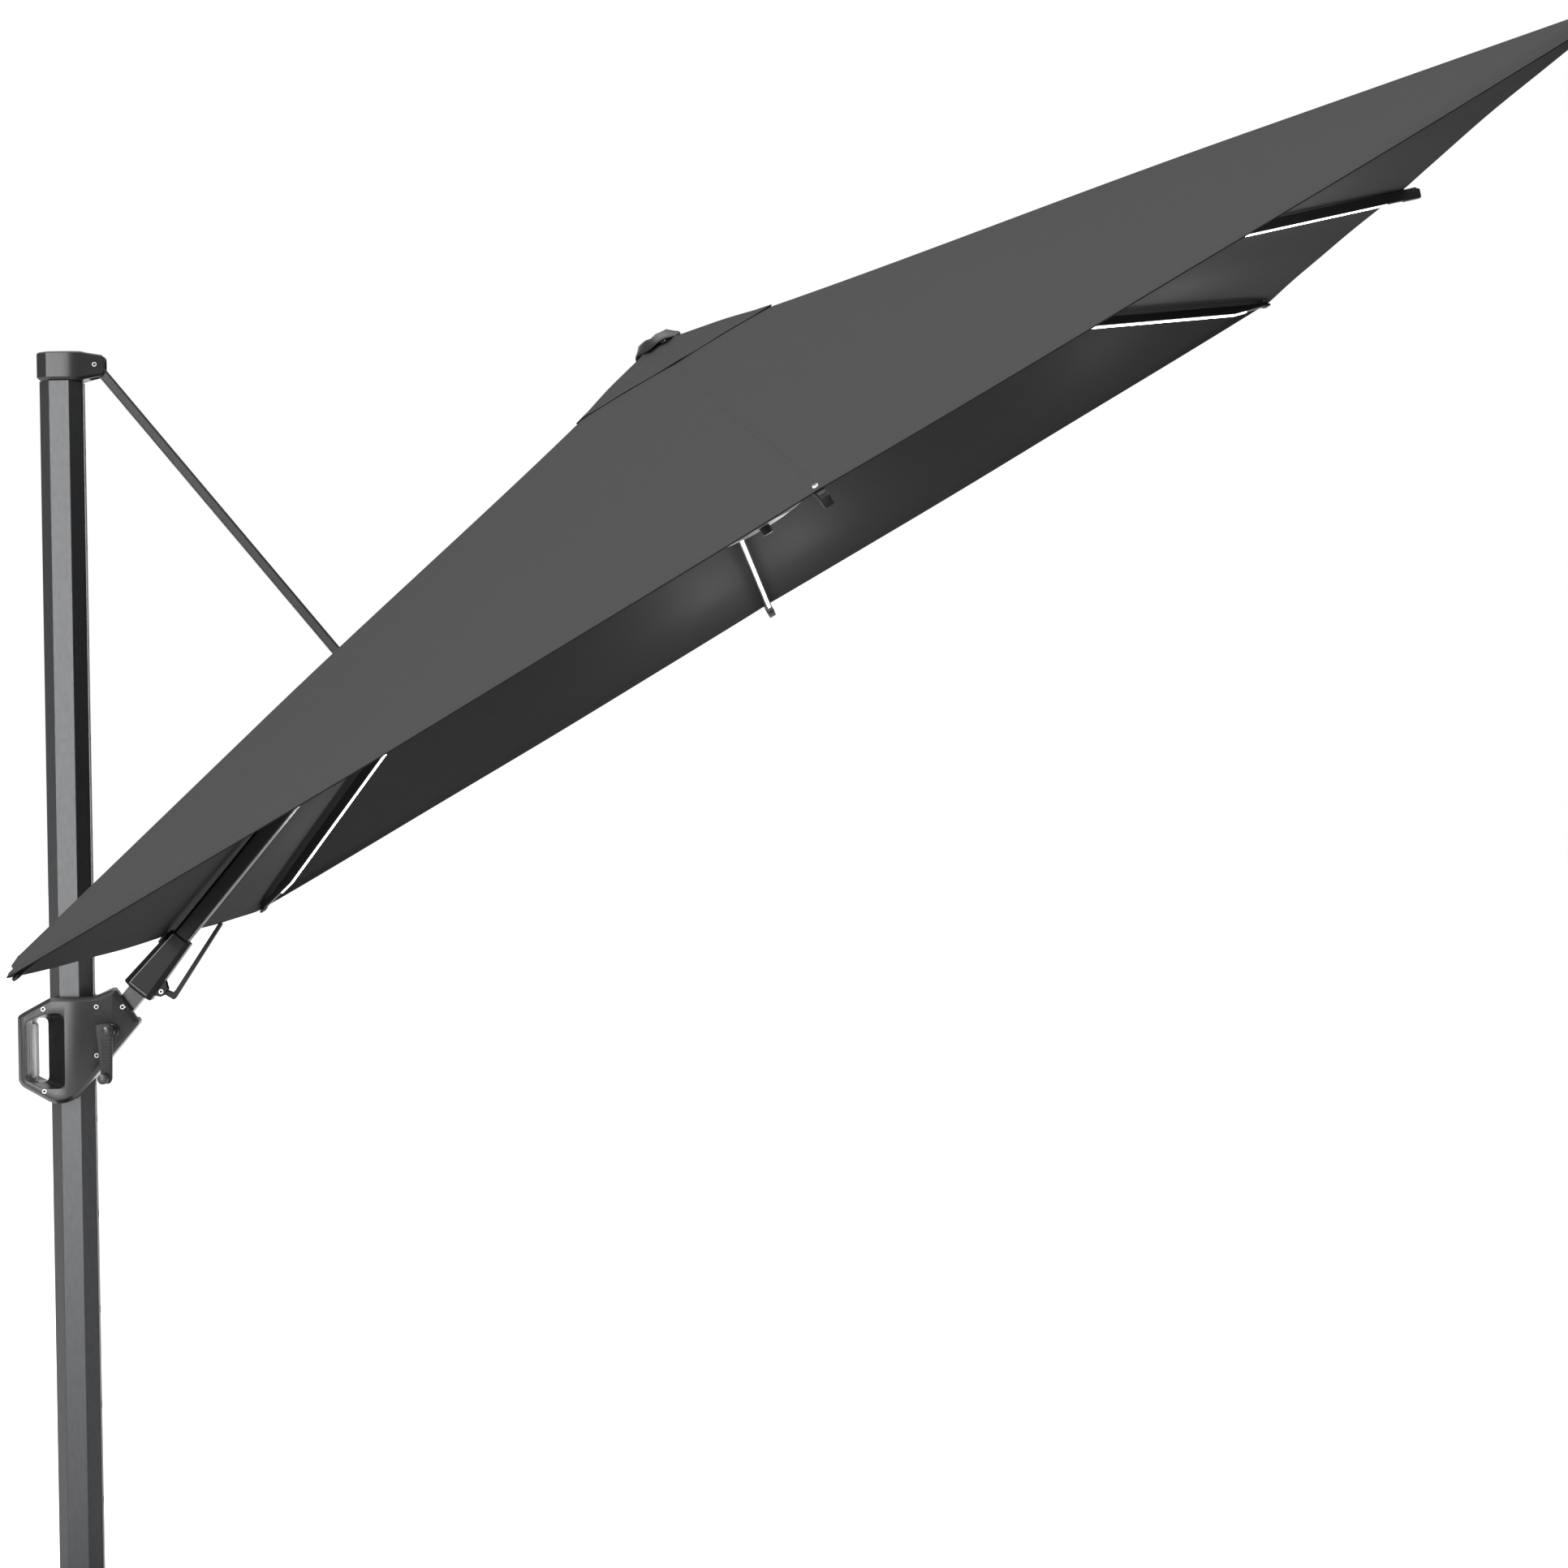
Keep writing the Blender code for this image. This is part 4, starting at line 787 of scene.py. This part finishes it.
cap_body = raw("mast_cap", *rings_solid([cap_ring(d, z) for d, z in ((0.0066, 2.6590), (0.0064, 2.6592), (0.0004, 2.6650), (0.0, 2.6656), (0.0, 2.7140), (0.0004, 2.7148), (0.0036, 2.7176), (0.0046, 2.7180))]))
bm_ = bmesh.new()
bm_.from_mesh(cap_body.data)
for x in (0.0400, 0.0440, 0.0480, 0.0520, 0.0560, 0.0620, 0.0700, 0.0780, 0.0840, 0.0870, 0.0890):
    bmesh.ops.bisect_plane(bm_, geom=list(bm_.verts) + list(bm_.edges) + list(bm_.faces), plane_co=(x, 0, 0), plane_no=(1, 0, 0), dist=1e-6)
for q in bm_.verts:
    if q.co.x > 0.0400:
        g_ = (q.co.x - 0.0400) / 0.0502
        top_ = 2.7180 - 0.0078 * smooth01(g_ * 4) * g_ - 0.0050 * max(0.0, (q.co.x - 0.0840) / 0.0062) ** 2
        low_ = 2.6590 + 0.0105 * smooth01(g_ * 4) * g_ + 0.0060 * max(0.0, (q.co.x - 0.0840) / 0.0062) ** 2
        q.co.z = low_ + (q.co.z - 2.6590) / 0.0590 * (top_ - low_)
bm_.to_mesh(cap_body.data)
bm_.free()
finish_mesh(cap_body, 0.0, 1, sharp=24)
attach(cap_body, "mast")
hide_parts("top_cap")
pin = turned([(0, -0.0175), (0.0040, -0.0175), (0.0040, 0.0175), (0, 0.0175)], 20, (0.071, 0, 2.691), (0, 1, 0), ("steel",), "strut_pin_shaft")
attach(pin, "mast")
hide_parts("strut_pin_upper")

# strut ends, the sleeve's screws, and painted highlight lines along the strut, the arm and the sleeve
for s_, tag in ((-1, "near"), (1, "far")):
    ring_screw(f"cap_screw_{tag}", (0.071, s_ * 0.0209, 2.691), (0.275, s_, 0), "mast", r=0.0047)
    q = ARM @ Vector((0.069, s_ * 0.0168, -0.039))
    ring_screw(f"lever_screw_{tag}", tuple(q), (0, s_, 0), "arm", r=0.0050)

def painted_highlight_edge(name, frame_, pts, body, r=0.0007):
    """A thin light line that follows an edge: a painted highlight standing in for the light an extrusion's edge
    catches.
    """
    v_, f_, n0 = [], [], 0
    for p0_, p1_ in zip(pts, pts[1:]):
        a_, b_ = Vector(p0_), Vector(p1_)
        ax_ = (b_ - a_).normalized()
        up_ = ax_.orthogonal().normalized()
        si_ = ax_.cross(up_)
        for c_ in (a_ - ax_ * r * 0.6, b_ + ax_ * r * 0.6):
            for i in range(8):
                t_ = 2 * math.pi * i / 8
                v_.append(tuple(frame_ @ (c_ + up_ * (r * math.cos(t_)) + si_ * (r * math.sin(t_)))))
        for i in range(8):
            j = (i + 1) % 8
            f_.append((n0 + i, n0 + j, n0 + 8 + j, n0 + 8 + i))
        f_ += [tuple(n0 + i for i in reversed(range(8))), tuple(n0 + 8 + i for i in range(8))]
        n0 += 16
    o_ = raw(name, v_, f_, ("edge",))
    finish_mesh(o_, 0.0, 1, sharp=60)
    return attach(o_, body)


# painted highlights: light lines along the strut's and the arm's lower edges and on the sleeve's chamfer
for s_, tag in ((-1, "near"), (1, "far")):
    painted_highlight_edge(f"strut_painted_highlight_{tag}", STRUT, [(0.012, s_ * 0.0096, -0.0090), (0.765, s_ * 0.0096, -0.0090)], "strut", 0.0008)
    painted_highlight_edge(f"arm_painted_highlight_{tag}", ARM, [(0.186, s_ * 0.0198, -0.0166), (0.560, s_ * 0.0198, -0.0166)], "arm", 0.0008)
    painted_highlight_edge(f"sleeve_painted_highlight_{tag}", ARM, [(0.176, s_ * 0.0267, 0.0154), (0.046, s_ * 0.0299, 0.0218), (0.046, s_ * 0.0299, -0.0218)], "arm", 0.0006)

# lower hub, its knob and the finial
hub_o = turned([(0, -0.0340), (0.052, -0.0338), (0.060, -0.0336), (0.0615, -0.0330), (0.086, -0.0302), (0.0965, -0.0275), (0.0998, -0.0245), (0.1000, -0.0215), (0.0985, -0.0200),
                (0.0940, -0.0198), (0.0900, -0.0215), (0.0720, -0.0225), (0.0700, -0.0150), (0.0460, -0.0120), (0, -0.0120)], 64, CAN @ Vector((-0.004, 0, 0.1165)), CAN.to_3x3() @ Vector((0, 0, 1)), ("hub",), "lower_hub_dish")
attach(hub_o, "lower_hub")
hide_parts("lower_hub")
knob_h = turned([(0, -0.0510), (0.0085, -0.0510), (0.0112, -0.0500), (0.0120, -0.0485), (0.0120, -0.0352), (0.0132, -0.0342), (0, -0.0338)], 40, CAN @ Vector((-0.004, 0, 0.1165)), CAN.to_3x3() @ Vector((0, 0, 1)), ("plastic_dark",), "hub_knob_body")
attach(knob_h, "lower_hub")
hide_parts("hub_knob")

fin_prof = [(0, 0.0), (0.049, -0.0112), (0.0535, -0.0108), (0.0550, -0.0090), (0.0530, -0.0050), (0.0480, -0.0010), (0.0420, 0.0050), (0.0380, 0.0090), (0.0300, 0.0118), (0.0120, 0.0130), (0, 0.0130)]
fin = turned(fin_prof, 56, CAN @ Vector((0, 0, 0.5225)), CAN.to_3x3() @ Vector((0, 0, 1)), ("plastic",), "finial_cap")
inv = CAN.inverted()
for q in fin.data.vertices:
    c = inv @ q.co
    r_, a_ = math.hypot(c.x, c.y), math.atan2(c.y, c.x)
    if r_ > 0.035:
        c.z += 0.0022 * math.cos(5 * a_ + 0.8) * (r_ - 0.035) / 0.020
        q.co = CAN @ c
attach(fin, "hub")
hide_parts("finial")
glint = turned([(0.0330, 0.0), (0.0335, 0.0016), (0.0350, 0.0020), (0.0362, 0.0014), (0.0365, 0.0), (0.0330, 0.0)], 48, CAN @ Vector((0, 0, 0.5330)), CAN.to_3x3() @ Vector((0, 0, 1)), ("steel",), "finial_ring")
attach(glint, "hub")

# rib end caps and hem rivets
for k in range(8):
    if k == 4:
        continue
    n_ = k + 1 if k < 4 else k
    tip = HALF * (math.sqrt(2) if k % 2 else 1.0)
    low = -0.0175 if k % 2 else -0.014
    slope = math.atan2(PIVOT_N - low, tip - PIVOT_R)
    fr = CAN @ Matrix.Rotation(k * math.pi / 4, 4, "Z") @ Matrix.Translation((PIVOT_R, 0, PIVOT_N)) @ Matrix.Rotation(slope, 4, "Y")
    if k % 2:
        length = (tip - PIVOT_R) / math.cos(slope) - 0.015
        x0, b0, t0, t1 = length - 0.018, 0.0034, 0.0116, 0.0100
    else:
        length = (tip - PIVOT_R) / math.cos(slope) + 0.026
        x0, b0, t0, t1 = length - 0.036, -0.0128, 0.0118, 0.0075
    loops = []
    for x, d in ((x0, 0.0010), (x0 + 0.0015, 0.0), (length - 0.0005, 0.0), (length + 0.0012, 0.0006), (length + 0.0022, 0.0020)):
        tt = t0 if x < length - 0.01 else t1
        pts = rounded([(-0.0088 + d, b0 + d), (0.0088 - d, b0 + d), (0.0088 - d, tt - d), (-0.0088 + d, tt - d)], 0.0022, 3)
        loops.append([tuple(fr @ Vector((x, y, z))) for y, z in pts])
    cap_ = raw(f"rib_cap_{n_}", *rings_solid(loops), ("plastic_dark",))
    finish_mesh(cap_, 0.0, 1, sharp=34)
    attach(cap_, f"rib_{n_}_arm")
    p_ = rib_line(k, main_surface, HALF - (0.009 if k % 2 else 0.020))
    nn = Vector((math.sin(slope) * math.cos(k * math.pi / 4), math.sin(slope) * math.sin(k * math.pi / 4), math.cos(slope)))
    ring_screw(f"hem_rivet_{n_}", tuple(CAN @ (p_ + nn * 0.0006)), tuple(CAN.to_3x3() @ nn), f"rib_{n_}_arm", r=0.0055, h=0.0030)

# ------------------------------------------------------------------ stage, light and camera
me = bpy.data.meshes.new("floor")
me.from_pydata([(-40, -40, 0), (40, -40, 0), (40, 60, 0), (-40, 60, 0)], [], [(0, 1, 2, 3)])
me.materials.append(M["floor"])
floor = bpy.data.objects.new("floor", me)
scene.collection.objects.link(floor)

world = bpy.data.worlds.new("studio")
scene.world = world
world.use_nodes = True
wn = world.node_tree
bg = wn.nodes["Background"]
bg.inputs["Color"].default_value = (1, 1, 1, 1)
bg.inputs["Strength"].default_value = 1.0
soft = wn.nodes.new("ShaderNodeBackground")
wt = wn.nodes.new("ShaderNodeTexCoord")
ws_ = wn.nodes.new("ShaderNodeSeparateXYZ")
wn.links.new(wt.outputs["Generated"], ws_.inputs[0])
wr = wn.nodes.new("ShaderNodeMapRange")
wr.inputs["From Min"].default_value, wr.inputs["From Max"].default_value = -1.0, 1.0
wn.links.new(ws_.outputs["X"], wr.inputs["Value"])
wc = wn.nodes.new("ShaderNodeValToRGB")
wn.links.new(wr.outputs["Result"], wc.inputs["Fac"])
ramp = wc.color_ramp
ramp.interpolation = "EASE"
for i_, (at_, lum) in enumerate(((0.0, SIDE_LIGHT), (0.20, SIDE_LIGHT), (0.34, 0.95), (0.46, 0.95), (0.55, 0.30), (0.66, SIDE_LIGHT))):
    el = ramp.elements[i_] if i_ < 2 else ramp.elements.new(at_)
    el.position = at_
    el.color = (lum, lum, lum, 1)
wr = wc
wn.links.new(wr.outputs["Color"], soft.inputs["Color"])
soft.inputs["Strength"].default_value = 1.0
lp = wn.nodes.new("ShaderNodeLightPath")
wm = wn.nodes.new("ShaderNodeMixShader")
wn.links.new(lp.outputs["Is Camera Ray"], wm.inputs["Fac"])
wn.links.new(soft.outputs[0], wm.inputs[1])
wn.links.new(bg.outputs[0], wm.inputs[2])
wn.links.new(wm.outputs[0], wn.nodes["World Output"].inputs["Surface"])


def area_light(name, at, to, size, power, size_y=None):
    l = bpy.data.lights.new(name, "AREA")
    l.energy = power
    l.size = size
    if size_y:
        l.shape = "RECTANGLE"
        l.size_y = size_y
    o = bpy.data.objects.new(name, l)
    scene.collection.objects.link(o)
    o.location = at
    o.rotation_euler = (Vector(to) - Vector(at)).to_track_quat("-Z", "Y").to_euler()
    return o


area_light("top", (1.2, 0.5, 9.0), (1.2, 0.5, 0), 10.0, 360)
area_light("front_soft", (-1.85, -8.6, 2.0), (0.0, 0, 1.9), 1.5, 250, size_y=5.0)
area_light("key", (-4.0, -7.5, 6.0), (0.3, -0.8, 1.6), 3.0, 620)
for k_, r_, side_, p_ in ((0, 1.20, 0.10, 1.1), (0, 1.20, -0.12, 1.1), (1, 1.55, 0.10, 1.1), (1, 1.50, -0.12, 1.1), (2, 1.20, 0.12, 3.0), (2, 1.20, -0.13, 3.0), (3, 1.55, 0.12, 0.8)):
    glow = bpy.data.lights.new(f"led_glow_{k_}", "POINT")
    glow.energy = p_
    glow.shadow_soft_size = 0.04
    go = bpy.data.objects.new(glow.name, glow)
    scene.collection.objects.link(go)
    t_ = k_ * math.pi / 4
    gx, gy = r_ * math.cos(t_) - side_ * math.sin(t_), r_ * math.sin(t_) + side_ * math.cos(t_)
    go.location = CAN @ Vector((gx, gy, RISE * (1 - max(abs(gx), abs(gy)) / HALF) - 0.16))

cam = bpy.data.cameras.new("camera")
cam.lens = 3903.7 / 1932 * 36
cam.sensor_width = 36
cam.clip_end = 200
co = bpy.data.objects.new("camera", cam)
scene.collection.objects.link(co)
A, B, C = (math.radians(x) for x in (-1.91, 0.22, 1.04))
m3 = Matrix.Rotation(A, 3, "Z") @ Matrix.Rotation(B, 3, "X") @ Matrix.Rotation(C, 3, "Y")
right, forward, up = m3.col[0], m3.col[1], m3.col[2]
mat = Matrix((right, up, -forward)).transposed().to_4x4()
mat.translation = Vector((1.250, -6.544, 1.782))
co.matrix_world = mat
scene.camera = co
scene.view_settings.view_transform = "Standard"
